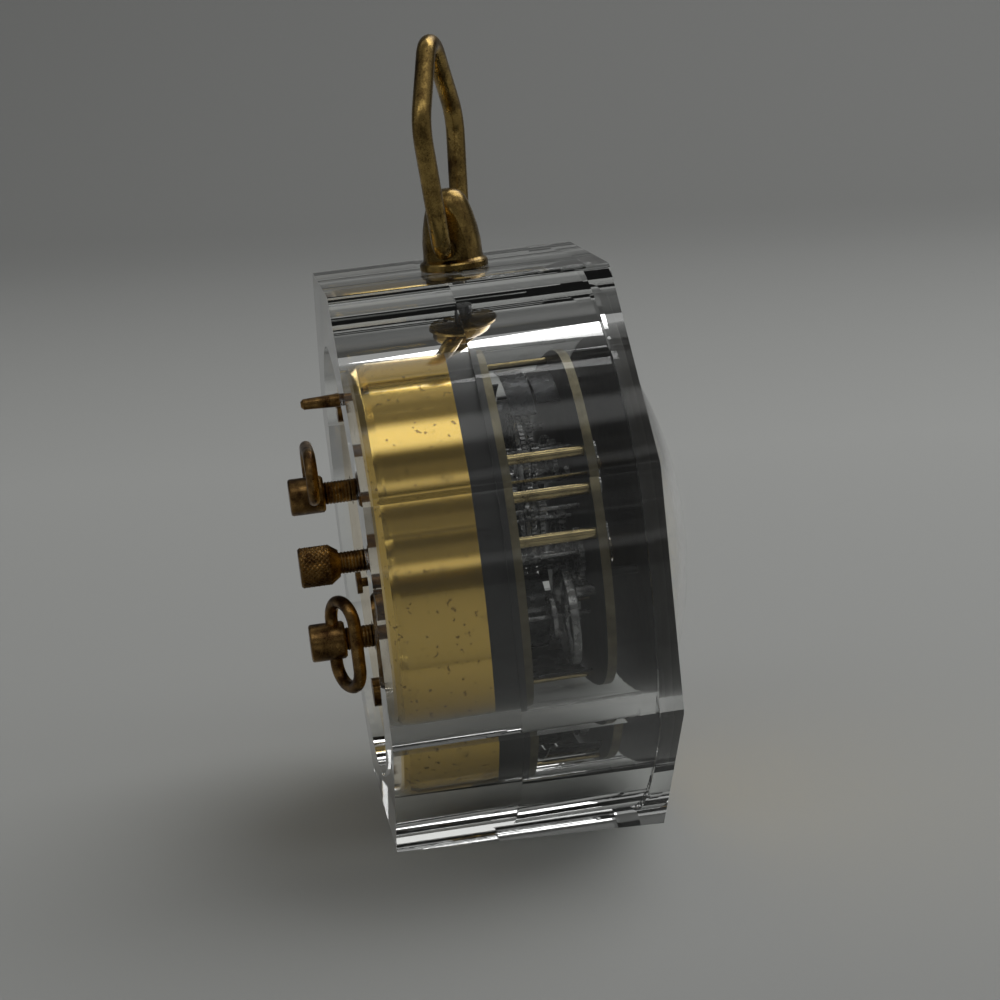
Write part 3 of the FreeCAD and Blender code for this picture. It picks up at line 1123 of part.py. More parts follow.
head_at = Vector(math.cos(hammer_way), 0, math.sin(hammer_way)) * sizes["hammer_reach"]
arm_low = sizes["hammer_level_y"] - sizes["hammer_arm_thick"]
hammer = bar(0, sizes["hammer_reach"], sizes["hammer_arm_half"], arm_low, sizes["hammer_level_y"], hammer_way)
half_head = sizes["hammer_head_length"] / 2
head_low = sizes["hammer_level_y"] - sizes["hammer_arm_thick"] / 2 - half_head
hammer = hammer.fuse([disc(sizes["hammer_shaft_r"] * 2, arm_low, sizes["hammer_level_y"]),
                      disc(sizes["hammer_head_r"], head_low, head_low + 2 * half_head, head_at.x, head_at.z)])
hammer = hammer.cut(disc(sizes["hammer_shaft_r"], arm_low, sizes["hammer_level_y"]))
node(feature("hammer", hammer), "hammer", "verge_x", "verge_z")

# Stop pin and regulator at the back
node(turned("alarm_stop_pin", [
    ("0", "inner_y - stop_travel"), ("stop_r", "inner_y - stop_travel"), ("stop_r", "rear_y"),
    ("stop_tip_r", "rear_y + stop_proud - stop_round"), ("stop_tip_r - stop_round", "rear_y + stop_proud"),
    ("0", "rear_y + stop_proud"),
]), "alarm_stop_pin", "0", "stop_z")
arm_start = number("rear_plate_y + fit_gap")
arm_end = arm_start + sizes["regulator_thick"]
regulator = bar(0, sizes["regulator_reach"], sizes["regulator_half"], arm_start, arm_end, math.pi / 2)
tab_eye = disc(sizes["regulator_post_r"] * 2, arm_start, arm_end, 0, sizes["regulator_reach"])
regulator = regulator.fuse([disc(sizes["regulator_hub_r"], arm_start, arm_end), tab_eye])
regulator = regulator.cut(disc(number("balance_bush_r + run_gap"), arm_start, arm_end))
tab_end = number("rear_y + regulator_proud")
tab = disc(sizes["regulator_post_r"], arm_end, tab_end, 0, sizes["regulator_reach"])
tab = tab.fuse(disc(sizes["regulator_head_r"], number("rear_y"), tab_end, 0, sizes["regulator_reach"]))
node(feature("regulator_lever", regulator.fuse(tab)), "regulator_lever", "balance_x", "balance_z")

doc.recompute()
for thing in doc.Objects:
    if "Invalid" in thing.State or "Error" in thing.State:
        raise RuntimeError("failed: %s %s" % (thing.Name, thing.State))
for thing in nodes:
    if thing.Shape.isNull() or not thing.Shape.isValid() or thing.Shape.Volume <= 0:
        raise RuntimeError("bad shape: " + thing.Label)
for thing in nodes:
    thing.Shape.exportStep("parts/%s.step" % thing.Label)
print("%d sub-parts, %d solids" % (len(nodes), sum(len(thing.Shape.Solids) for thing in nodes)))
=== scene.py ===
"""Looks of a clear acrylic alarm clock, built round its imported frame.

The clock is an octagonal block of clear acrylic with a wind-up movement in its bore. Each sub-assembly below is a
class that builds its own meshes and dresses them, and each finish is a small class that makes one material.
Sizes are in metres. Upright clock coordinates have the bore's axis along y and lean back with the whole clock.
"""

import logging
import math
from collections.abc import Callable, Sequence
from dataclasses import dataclass
from enum import Enum

import bmesh
import bpy
from mathutils import Matrix, Vector


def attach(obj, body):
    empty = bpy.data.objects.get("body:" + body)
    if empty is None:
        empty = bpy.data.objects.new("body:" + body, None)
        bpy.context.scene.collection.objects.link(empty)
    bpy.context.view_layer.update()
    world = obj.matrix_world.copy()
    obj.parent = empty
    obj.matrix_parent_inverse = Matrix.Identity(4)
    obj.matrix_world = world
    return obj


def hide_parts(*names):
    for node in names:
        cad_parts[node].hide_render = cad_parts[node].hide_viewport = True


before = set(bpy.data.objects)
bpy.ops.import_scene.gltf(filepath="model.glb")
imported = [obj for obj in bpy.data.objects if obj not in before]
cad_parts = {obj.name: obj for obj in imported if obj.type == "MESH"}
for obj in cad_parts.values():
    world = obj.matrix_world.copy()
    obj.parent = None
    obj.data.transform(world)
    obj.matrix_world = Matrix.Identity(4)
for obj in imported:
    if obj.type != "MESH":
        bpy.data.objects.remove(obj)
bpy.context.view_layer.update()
log = logging.getLogger("clock")

Pair = tuple[float, float]
Triple = tuple[float, float, float]

MM = 0.001
DEGREE = math.pi / 180
EVEN: Triple = (1.0, 1.0, 1.0)


class Smooth(Enum):
    """How the faces of a new mesh are shaded."""

    FLAT = "flat"
    ROUND = "round"
    BY_ANGLE = "by angle"


@dataclass(frozen=True)
class Stand:
    """The clock's upright coordinates: the bore's axis along y, leaning back on the foot."""

    half_flats: float = 45.0 * MM
    half_depth: float = 21.5 * MM
    lean: float = 4.0 * DEGREE

    @property
    def matrix(self) -> Matrix:
        """World matrix of the leaning clock."""
        rise = self.half_flats - self.half_depth * math.tan(self.lean)
        return Matrix.Rotation(-self.lean, 4, "X") @ Matrix.Translation(Vector((0, 0, rise)))


STAND = Stand()


class Sock:
    """One node socket with Python's operators, so that shader maths reads as an expression."""

    def __init__(self, tree: "Tree", link: bpy.types.NodeSocket) -> None:
        """Wraps a socket.

        Args:
            tree: the maker that owns the socket's node tree.
            link: the output socket.
        """
        self.tree = tree
        self.link = link

    def _math(self, operation: str, *values: "Sock | float") -> "Sock":
        """Adds a Math node.

        Args:
            operation: the Math node's operation.
            values: its inputs in order.

        Returns:
            The node's output.
        """
        return self.tree.node("ShaderNodeMath", {"operation": operation}, dict(enumerate(values)))

    def __add__(self, other: "Sock | float") -> "Sock":
        """Sum."""
        return self._math("ADD", self, other)

    def __radd__(self, other: float) -> "Sock":
        """Sum with a number in front."""
        return self._math("ADD", other, self)

    def __sub__(self, other: "Sock | float") -> "Sock":
        """Difference."""
        return self._math("SUBTRACT", self, other)

    def __rsub__(self, other: float) -> "Sock":
        """Difference from a number."""
        return self._math("SUBTRACT", other, self)

    def __mul__(self, other: "Sock | float") -> "Sock":
        """Product."""
        return self._math("MULTIPLY", self, other)

    def __rmul__(self, other: float) -> "Sock":
        """Product with a number in front."""
        return self._math("MULTIPLY", other, self)

    def __abs__(self) -> "Sock":
        """The value without its sign."""
        return self._math("ABSOLUTE", self)

    def angle(self, across: "Sock") -> "Sock":
        """Angle of the slope with this rise over a run across, in radians."""
        return self._math("ARCTAN2", self, across)

    def larger(self, other: "Sock | float") -> "Sock":
        """The larger of two values."""
        return self._math("MAXIMUM", self, other)

    def clamped(self) -> "Sock":
        """The value held between 0 and 1."""
        return self._math("MINIMUM", self.larger(0.0), 1.0)


class Tree:
    """Adds nodes to one node tree, of a material or of the surroundings."""

    def __init__(self, tree: bpy.types.NodeTree) -> None:
        """Starts with an empty tree.

        Args:
            tree: the node tree to fill.
        """
        self.tree = tree
        self.tree.nodes.clear()

    def add(self, kind: str, settings: dict | None = None, inputs: dict | None = None) -> bpy.types.Node:
        """Adds a node with its settings and its inputs.

        Args:
            kind: the node's type.
            settings: attributes set first; "stops" holds a colour ramp's (place, colour) pairs.
            inputs: values or sockets by the input's name or number.

        Returns:
            The node.
        """
        made = self.tree.nodes.new(kind)
        for key, value in (settings or {}).items():
            if key == "stops":
                elements = made.color_ramp.elements
                elements.remove(elements[-1])
                elements[0].position, elements[0].color = value[0]
                for place, colour in value[1:]:
                    elements.new(place).color = colour
            else:
                setattr(made, key, value)
        for key, value in (inputs or {}).items():
            if isinstance(value, Sock):
                self.tree.links.new(value.link, made.inputs[key])
            else:
                made.inputs[key].default_value = value
        return made

    def node(self, kind: str, settings: dict | None = None, inputs: dict | None = None,
             out: int | str = 0) -> Sock:
        """Adds a node and picks one of its outputs.

        Args:
            kind: the node's type.
            settings: attributes set first.
            inputs: values or sockets by the input's name or number.
            out: the output's name or number.

        Returns:
            The chosen output.
        """
        return Sock(self, self.add(kind, settings, inputs).outputs[out])

    def split(self, vector: Sock, axis: str) -> Sock:
        """One coordinate of a vector."""
        return self.node("ShaderNodeSeparateXYZ", None, {"Vector": vector}, out=axis)

    def noise(self, size: float, detail: float, stretch: Triple = EVEN) -> Sock:
        """Noise on the object's own coordinates.

        Args:
            size: the size of its features in metres.
            detail: the number of finer layers.
            stretch: how much faster it changes along each axis.

        Returns:
            The noise, about 0.3 to 0.7.
        """
        where = self.node("ShaderNodeTexCoord", out="Object")
        where = self.node("ShaderNodeVectorMath", {"operation": "MULTIPLY"}, {0: where, 1: stretch})
        return self.node("ShaderNodeTexNoise", None, {"Vector": where, "Scale": 1 / size, "Detail": detail})

    def ramp(self, value: Sock, *stops: tuple[float, Triple]) -> Sock:
        """Colour ramp over a value.

        Args:
            value: a value from 0 to 1.
            stops: places and colours.

        Returns:
            The colour.
        """
        coloured = [(place, (*colour, 1.0)) for place, colour in stops]
        return self.node("ShaderNodeValToRGB", {"stops": coloured}, {"Fac": value})

    def band(self, value: Sock, low: float, high: float) -> Sock:
        """The value's place between low and high, clamped to 0 and 1."""
        return self.node("ShaderNodeMapRange", None, {"Value": value, "From Min": low, "From Max": high})

    def mixed(self, factor: "Sock | float", first: "Sock | Triple", second: "Sock | Triple") -> Sock:
        """Colour mix.

        Args:
            factor: the second colour's share.
            first: the colour at 0.
            second: the colour at 1.

        Returns:
            The mixed colour.
        """
        ends = [value if isinstance(value, Sock) else (*value, 1.0) for value in (first, second)]
        return self.node("ShaderNodeMix", {"data_type": "RGBA"}, {0: factor, 6: ends[0], 7: ends[1]}, out=2)

    def bump(self, height: Sock, distance: float, strength: float = 1.0) -> Sock:
        """Normal bumped by a height.

        Args:
            height: the height as a share of the distance.
            distance: the depth in metres.
            strength: the share of the bump that shows.

        Returns:
            The normal.
        """
        return self.node("ShaderNodeBump", None, {"Height": height, "Distance": distance, "Strength": strength},
                         out="Normal")


class Dress(Tree):
    """Makes one node material."""

    def __init__(self, name: str) -> None:
        """Starts an empty material.

        Args:
            name: the material's name.
        """
        self.material = bpy.data.materials.new(name)
        self.material.use_nodes = True
        super().__init__(self.material.node_tree)

    def principled(self, inputs: dict) -> Sock:
        """Principled shader with the given inputs."""
        return self.node("ShaderNodeBsdfPrincipled", None, inputs, out="BSDF")

    def done(self, shader: Sock) -> bpy.types.Material:
        """Ends the material in a shader.

        Args:
            shader: the shader's output.

        Returns:
            The material.
        """
        self.add("ShaderNodeOutputMaterial", None, {"Surface": shader})
        return self.material


def shade(colour: Triple, share: float) -> Triple:
    """A colour times a share."""
    return tuple(value * share for value in colour)


@dataclass(frozen=True)
class Finish:
    """A finish that makes its own material."""

    name: str

    def make(self) -> bpy.types.Material:
        """Builds the material."""
        raise NotImplementedError


@dataclass(frozen=True)
class Metal(Finish):
    """Metal with uneven tarnish, fine wear and soft dents in its shine."""

    bright: Triple
    dull: Triple
    tarnish: float
    patch: float
    shine: float
    worn: float
    grain: Triple = EVEN
    spots: float = 0.0
    dents: float = 0.02 * MM
    cloud_detail: float = 5.0
    fine_detail: float = 4.0
    fine_share: float = 0.3
    fine_parts: float = 12.0
    spot_detail: float = 2.0
    spot_parts: float = 5.0
    clean_band: Pair = (0.62, 0.80)
    band_drop: Pair = (0.35, 0.25)
    spot_band: Pair = (0.70, 0.74)
    spot_drop: float = 0.06
    spot_cover: float = 0.9
    fine_rough: float = 0.06
    dent_strength: float = 0.35

    def make(self) -> bpy.types.Material:
        """Builds the material.

        Returns:
            The material.
        """
        dress = Dress(self.name)
        clouds = dress.noise(self.patch, self.cloud_detail)
        fine = dress.noise(self.patch / self.fine_parts, self.fine_detail, self.grain)
        low, high = (edge - drop * self.tarnish for edge, drop in zip(self.clean_band, self.band_drop))
        cover = dress.band(clouds * (1 - self.fine_share) + fine * self.fine_share, low, high)
        if self.spots > 0:
            dots = dress.noise(self.patch / self.spot_parts, self.spot_detail)
            low, high = (edge - self.spot_drop * self.spots for edge in self.spot_band)
            cover = cover.larger(dress.band(dots, low, high) * self.spot_cover)
        rough = self.shine + cover * (self.worn - self.shine) + fine * self.fine_rough
        return dress.done(dress.principled({
            "Base Color": dress.mixed(cover, self.bright, self.dull), "Metallic": 1.0, "Roughness": rough,
            "Normal": dress.bump(fine, self.dents, self.dent_strength),
        }))


@dataclass(frozen=True)
class TwoTone(Finish):
    """Flat piece with one metal on the faces that look along the bore and another elsewhere."""

    faces: Triple
    rest: Triple
    faces_metal: float
    rest_metal: float
    faces_rough: float
    rest_rough: float
    front_only: bool = True
    facing_band: Pair = (0.5, 0.6)
    cloud_size: float = 2.5 * MM
    cloud_detail: float = 4.0
    wear_band: Pair = (0.35, 0.7)
    faces_wear: float = 0.3
    faces_worn: float = 0.55
    rest_worn: float = 0.6
    cloud_rough: float = 0.1
    dents: float = 0.01 * MM
    dent_strength: float = 0.4

    def make(self) -> bpy.types.Material:
        """Builds the material.

        Returns:
            The material.
        """
        dress = Dress(self.name)
        normal = dress.node("ShaderNodeTexCoord", out="Normal")
        front = tuple(STAND.matrix.to_3x3() @ Vector((0, -1, 0)))
        facing = dress.node("ShaderNodeVectorMath", {"operation": "DOT_PRODUCT"}, {0: normal, 1: front}, out="Value")
        if not self.front_only:
            facing = facing * facing
        mask = dress.band(facing, *self.facing_band)
        cloud = dress.noise(self.cloud_size, self.cloud_detail)
        worn = dress.band(cloud, *self.wear_band)
        faces = dress.mixed(worn * self.faces_wear, self.faces, shade(self.faces, self.faces_worn))
        rest = dress.mixed(worn, self.rest, shade(self.rest, self.rest_worn))
        metal = self.rest_metal + mask * (self.faces_metal - self.rest_metal)
        rough = self.rest_rough + mask * (self.faces_rough - self.rest_rough) + cloud * self.cloud_rough
        return dress.done(dress.principled({
            "Base Color": dress.mixed(mask, rest, faces), "Metallic": metal, "Roughness": rough,
            "Normal": dress.bump(cloud, self.dents, self.dent_strength),
        }))


@dataclass(frozen=True)
class Paint(Finish):
    """Smooth paint or enamel with faint unevenness."""

    colour: Triple
    faded: Triple
    rough: float
    cloud_size: float = 3 * MM
    cloud_detail: float = 4.0
    cloud_rough: float = 0.15
    dents: float = 0.01 * MM

    def make(self) -> bpy.types.Material:
        """Builds the material.

        Returns:
            The material.
        """
        dress = Dress(self.name)
        cloud = dress.noise(self.cloud_size, self.cloud_detail)
        return dress.done(dress.principled({
            "Base Color": dress.mixed(cloud, self.colour, self.faded),
            "Roughness": self.rough + cloud * self.cloud_rough, "Normal": dress.bump(cloud, self.dents),
        }))


@dataclass(frozen=True)
class Acrylic(Finish):
    """Clear acrylic: it refracts, has faint scuffs and lets lamp light through to what it holds."""

    tint: Triple = (0.965, 0.972, 0.965)
    index: float = 1.49
    scuffs: float = 0.35
    scratch_size: float = 0.35 * MM
    scratch_detail: float = 2.0
    scratch_stretch: Triple = (1.0, 0.12, 1.0)
    haze_size: float = 7 * MM
    haze_detail: float = 3.0
    scratch_share: float = 0.8
    haze_share: float = 0.4
    mark_band: Pair = (0.70, 0.84)
    polish: float = 0.004
    mark_rough: float = 0.10
    scratch_depth: float = 0.004 * MM
    scratch_strength: float = 0.25

    def make(self) -> bpy.types.Material:
        """Builds the material.

        Returns:
            The material.
        """
        dress = Dress(self.name)
        scratch = dress.noise(self.scratch_size, self.scratch_detail, self.scratch_stretch)
        haze = dress.noise(self.haze_size, self.haze_detail)
        marks = dress.band(scratch * self.scratch_share + haze * self.haze_share, *self.mark_band)
        clear = dress.principled({
            "Base Color": (*self.tint, 1.0), "Roughness": marks * (self.mark_rough * self.scuffs) + self.polish,
            "IOR": self.index, "Transmission Weight": 1.0,
            "Normal": dress.bump(scratch, self.scratch_depth, self.scratch_strength * self.scuffs),
        })
        through = dress.node("ShaderNodeBsdfTransparent", None, {"Color": (*self.tint, 1.0)})
        shadow = dress.node("ShaderNodeLightPath", out="Is Shadow Ray")
        diffuse = dress.node("ShaderNodeLightPath", out="Is Diffuse Ray")
        return dress.done(dress.node("ShaderNodeMixShader", None, {0: shadow.larger(diffuse), 1: clear, 2: through}))


class Finishes:
    """Every finish of the clock, made once."""

    def __init__(self) -> None:
        """Makes the materials."""
        self.acrylic = Acrylic("clear_acrylic").make()
        self.dome = Acrylic("clear_dome", tint=(0.985, 0.985, 0.975), scuffs=0.2).make()
        self.cover = Metal(
            "cover_brass", bright=(0.84, 0.58, 0.15), dull=(0.36, 0.22, 0.05), tarnish=0.10, patch=5 * MM,
            shine=0.085, worn=0.2, grain=(1.0, 5.0, 1.0), spots=0.9, dents=0.008 * MM).make()
        self.aged = Metal(
            "aged_brass", bright=(0.40, 0.27, 0.085), dull=(0.06, 0.034, 0.011), tarnish=0.65, patch=3.5 * MM,
            shine=0.16, worn=0.38, spots=0.4).make()
        self.key = Metal(
            "key_brass", bright=(0.32, 0.19, 0.065), dull=(0.045, 0.021, 0.009), tarnish=0.75, patch=2.2 * MM,
            shine=0.2, worn=0.4, spots=0.4).make()
        self.pillar = Metal(
            "pillar_brass", bright=(0.52, 0.42, 0.22), dull=(0.16, 0.12, 0.06), tarnish=0.35, patch=4 * MM,
            shine=0.12, worn=0.3).make()
        self.steel = Metal(
            "grey_steel", bright=(0.30, 0.30, 0.30), dull=(0.07, 0.07, 0.07), tarnish=0.45, patch=2 * MM,
            shine=0.18, worn=0.4).make()
        self.black = Metal(
            "blackened_steel", bright=(0.035, 0.036, 0.038), dull=(0.012, 0.012, 0.012), tarnish=0.5, patch=2 * MM,
            shine=0.22, worn=0.45).make()
        self.plate = TwoTone(
            "blackened_plate", faces=(0.014, 0.014, 0.015), rest=(0.16, 0.14, 0.09), faces_metal=0.2,
            rest_metal=1.0, faces_rough=0.4, rest_rough=0.35, front_only=False).make()
        self.bezel = TwoTone(
            "gilt_bezel", faces=(0.80, 0.58, 0.22), rest=(0.022, 0.020, 0.017), faces_metal=1.0, rest_metal=0.4,
            faces_rough=0.22, rest_rough=0.35).make()
        self.dial = TwoTone(
            "gilt_dial", faces=(0.84, 0.62, 0.20), rest=(0.014, 0.013, 0.012), faces_metal=0.9, rest_metal=0.2,
            faces_rough=0.38, rest_rough=0.5).make()
        self.dark = Paint("dark_ring", (0.006, 0.006, 0.007), (0.014, 0.014, 0.014), 0.3).make()
        self.ink = Paint("black_enamel", (0.01, 0.01, 0.01), (0.02, 0.02, 0.02), 0.25).make()
        # Pale paint for the block's rounded edges: a painted highlight standing in for the bright edge lines.
        self.highlight_edge_paint = Paint("painted_highlight_edge", (0.50, 0.505, 0.49), (0.34, 0.345, 0.335), 0.5).make()
        self.red = Paint("alarm_enamel", (0.35, 0.02, 0.015), (0.25, 0.02, 0.01), 0.35).make()


@dataclass(frozen=True)
class Owner:
    """Where a new piece belongs: its body, its material slot and the solids that it stands for."""

    body: str
    slot: str
    stands_for: tuple[str, ...] = ()


class Workshop:
    """Turns meshes into placed and dressed pieces, attached to their bodies."""

    def __init__(self, finishes: Finishes) -> None:
        """Keeps the finishes for the pieces to come."""
        self.finishes = finishes

    def add(self, name: str, mesh: bpy.types.Mesh, material: bpy.types.Material, owner: Owner,
            smooth: Smooth = Smooth.BY_ANGLE, sharp: float = 35 * DEGREE) -> bpy.types.Object:
        """Adds one new piece and attaches it to its body.

        Args:
            name: the piece's name.
            mesh: its mesh, already in world coordinates.
            material: its finish.
            owner: the body, slot and solids.
            smooth: how its faces are shaded.
            sharp: the angle above which an edge stays sharp.

        Returns:
            The piece.
        """
        mesh.materials.append(material)
        for polygon in mesh.polygons:
            polygon.use_smooth = smooth is not Smooth.FLAT
        if smooth is Smooth.BY_ANGLE:
            mesh.set_sharp_from_angle(angle=sharp)
        piece = bpy.data.objects.new(name, mesh)
        bpy.context.scene.collection.objects.link(piece)
        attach(piece, owner.body)
        if owner.stands_for:
            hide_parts(*owner.stands_for)
        log.info("built %s: %d faces on %s", name, len(mesh.polygons), owner.body)
        return piece

    def dress_node(self, node: str, material: bpy.types.Material) -> None:
        """Gives a carried-over solid its finish.

        Args:
            node: the solid's name.
            material: its finish.
        """
        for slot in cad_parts[node].material_slots:
            slot.material = material
        log.info("dressed %s with %s", node, material.name)


def finished(maker: bmesh.types.BMesh, name: str, place: Matrix) -> bpy.types.Mesh:
    """Turns what a mesh maker holds into a mesh, with its faces outwards, and frees the maker.

    Args:
        maker: the mesh maker.
        name: the mesh's name.
        place: matrix from the piece's own space to the world.

    Returns:
        The mesh.
    """
    bmesh.ops.recalc_face_normals(maker, faces=maker.faces)
    maker.transform(place)
    mesh = bpy.data.meshes.new(name)
    maker.to_mesh(mesh)
    maker.free()
    return mesh


def turned(profile: Sequence[Pair], steps: int,
           shape: Callable[[float, float, float], float] | None = None) -> bmesh.types.BMesh:
    """Turns a profile of (radius, y) points about the y axis.

    Args:
        profile: points from one end to the other; a radius of 0 closes the end.
        steps: faces round the axis.
        shape: optional change of radius from (radius, y, angle).

    Returns:
        The mesh maker.
    """
    maker = bmesh.new()
    rings = []
    for radius, y in profile:
        if radius <= 0:
            rings.append([maker.verts.new((0, y, 0))])
            continue
        ring = []
        for step in range(steps):
            angle = 2 * math.pi * step / steps
            here = shape(radius, y, angle) if shape else radius
            ring.append(maker.verts.new((here * math.cos(angle), y, here * math.sin(angle))))
        rings.append(ring)
    for first, second in zip(rings, rings[1:]):
        for step in range(steps):
            after = (step + 1) % steps
            if len(first) == 1:
                maker.faces.new((first[0], second[step], second[after]))
            elif len(second) == 1:
                maker.faces.new((first[after], first[step], second[0]))
            else:
                maker.faces.new((first[after], first[step], second[step], second[after]))
    return maker


def skin(maker: bmesh.types.BMesh, rings: Sequence[Sequence[Vector]], closed: bool = False) -> None:
    """Adds faces through equal rings of points, back to the first ring or with flat ends.

    Args:
        maker: the mesh maker.
        rings: the sections in order.
        closed: whether the last ring joins the first.
    """
    made = [[maker.verts.new(point) for point in ring] for ring in rings]
    for first, second in zip(made, made[1:] + (made[:1] if closed else [])):
        for step in range(len(first)):
            after = (step + 1) % len(first)
            maker.faces.new((first[step], first[after], second[after], second[step]))
    if not closed:
        maker.faces.new(made[0][::-1])
        maker.faces.new(made[-1])


def rounded(corners: Sequence[Vector], radii: Sequence[float], steps: int) -> list[Vector]:
    """Points along straight runs joined by tangent arcs.

    Args:
        corners: the corners of the path.
        radii: one radius for each corner; 0 keeps the corner.
        steps: points on each arc.

    Returns:
        The points.
    """
    points = []
    for place, corner in enumerate(corners):
        if radii[place] == 0:
            points.append(corner.copy())
            continue
        back = (corners[place - 1] - corner).normalized()
        ahead = (corners[(place + 1) % len(corners)] - corner).normalized()
        half = back.angle(ahead) / 2
        middle = (back + ahead).normalized()
        centre = corner + middle * (radii[place] / math.sin(half))
        spoke = corner + back * (radii[place] / math.tan(half)) - centre
        axis = ahead.cross(back)
        for step in range(steps + 1):
            points.append(centre + Matrix.Rotation((math.pi - 2 * half) * step / steps, 3, axis) @ spoke)
    return points


def tube(path: Sequence[Vector], radius: float, closed: bool, place: Matrix, sides: int) -> bpy.types.Mesh:
    """Round wire along points, with flat ends where it isn't closed.

    Args:
        path: the wire's centre line.
        radius: the wire's radius.
        closed: whether it is a ring.
        place: matrix to the world.
        sides: faces round the wire.

    Returns:
        The mesh.
    """
    count = len(path)
    normal = None
    rings = []
    for step, point in enumerate(path):
        before = path[step - 1] if closed or step else point
        after = path[(step + 1) % count] if closed or step < count - 1 else point
        way = (after - before).normalized()
        if normal is None:
            normal = way.orthogonal().normalized()
        normal = (normal - way * normal.dot(way)).normalized()
        side = way.cross(normal)
        angles = [2 * math.pi * turn / sides for turn in range(sides)]
        rings.append([point + (normal * math.cos(angle) + side * math.sin(angle)) * radius for angle in angles])
    maker = bmesh.new()
    skin(maker, rings, closed)
    return finished(maker, "wire", place)


@dataclass
class ClearBody:
    """The octagonal block with its stepped bore, made with a round bore and crisp facets."""

    half_flats: float = STAND.half_flats
    half_depth: float = STAND.half_depth
    half_facet: float = 22.5 * DEGREE
    edge_trim: float = 0.5 * MM
    rear_bore: float = 34.8 * MM
    front_bore: float = 35.6 * MM
    step_y: float = 1.3 * MM
    seat_radius: float = 37.2 * MM
    seat_y: float = -19.5 * MM
    edge_round: float = 0.16 * MM
    edge_steps: int = 2
    round_from: float = 30 * DEGREE
    sharp_from: float = 12 * DEGREE
    flat_within: float = 0.2 * DEGREE
    turns: int = 288

    def outline(self) -> list[Pair]:
        """Corners of the octagon with its trimmed edges; the two under the foot stay sharp.

        Returns:
            Points (x, z), counter-clockwise.
        """
        side, trim = self.half_flats, self.edge_trim
        edge = side * math.tan(self.half_facet)
        slant = trim * math.sqrt(0.5)
        right = [
            (edge, -side), (side - slant, -edge - slant), (side, -edge + trim), (side, edge - trim),
            (side - slant, edge + slant), (edge + slant, side - slant), (edge - trim, side),
        ]
        return right + [(-x, z) for x, z in reversed(right)]

    def reach(self, corners: Sequence[Pair], angle: float) -> float:
        """Distance from the axis to the outline along a direction.

        Args:
            corners: the outline.
            angle: the direction, from x towards z.

        Returns:
            The distance.
        """
        parallel, slack = 1e-12, 1e-6
        ux, uz = math.cos(angle), math.sin(angle)
        best = math.inf
        for (ax, az), (bx, bz) in zip(corners, corners[1:] + corners[:1]):
            cross = ux * (bz - az) - uz * (bx - ax)
            if abs(cross) < parallel:
                continue
            distance = (ax * (bz - az) - az * (bx - ax)) / cross
            share = (ax * uz - az * ux) / cross
            if distance > 0 and -slack <= share <= 1 + slack:
                best = min(best, distance)
        return best

    def angles(self, corners: Sequence[Pair]) -> list[float]:
        """Even directions round the axis, with one through every corner.

        Args:
            corners: the outline.

        Returns:
            The directions in order.
        """
        same = 1e-5
        angles = [2 * math.pi * step / self.turns for step in range(self.turns)]
        angles = sorted(angles + [math.atan2(z, x) % (2 * math.pi) for x, z in corners])
        return [angle for place, angle in enumerate(angles) if place == 0 or angle - angles[place - 1] > same]

    def mesh(self) -> bpy.types.Mesh:
        """Builds the block and cuts its foot level with the floor.

        Returns:
            The mesh in world coordinates.
        """
        corners = self.outline()
        angles = self.angles(corners)
        outer = [self.reach(corners, angle) for angle in angles]
        rear, front = self.half_depth, -self.half_depth
        sections = [(outer, rear)]
        sections += [([radius] * len(angles), y) for radius, y in (
            (self.rear_bore, rear), (self.rear_bore, self.step_y), (self.front_bore, self.step_y),
            (self.front_bore, self.seat_y), (self.seat_radius, self.seat_y), (self.seat_radius, front))]
        sections.append((outer, front))
        maker = bmesh.new()
        skin(maker, [[Vector((radius * math.cos(angle), y, radius * math.sin(angle)))
                      for radius, angle in zip(radii, angles)] for radii, y in sections], True)
        bmesh.ops.dissolve_limit(maker, angle_limit=self.flat_within, verts=maker.verts, edges=maker.edges)
        above_floor = Vector((0, 0, 1e-6))
        foot = Vector((0, front, -self.half_flats)) + above_floor
        normal = Vector((0, math.tan(STAND.lean), -1)).normalized()
        everything = list(maker.verts) + list(maker.edges) + list(maker.faces)
        cut = bmesh.ops.bisect_plane(maker, geom=everything, plane_co=foot, plane_no=normal, clear_outer=True)
        edges = [item for item in cut["geom_cut"] if isinstance(item, bmesh.types.BMEdge)]
        bmesh.ops.edgeloop_fill(maker, edges=edges)
        return finished(maker, "clear_block", STAND.matrix)

    def build(self, shop: Workshop) -> None:
        """Builds the block, with its edges slightly rounded and painted pale: a painted highlight along each edge.

        Args:
            shop: the workshop.
        """
        piece = shop.add("clear_block", self.mesh(), shop.finishes.acrylic,
                         Owner("case", "clear_acrylic", ("clear_body",)), Smooth.BY_ANGLE, self.sharp_from)
        bevel = piece.modifiers.new("edge_round", "BEVEL")
        bevel.width = self.edge_round
        bevel.segments = self.edge_steps
        bevel.limit_method = "ANGLE"
        bevel.angle_limit = self.round_from
        bevel.harden_normals = True
        # The rounded edges take the pale paint, a painted highlight along them.
        piece.data.materials.append(shop.finishes.highlight_edge_paint)
        bevel.material = 1


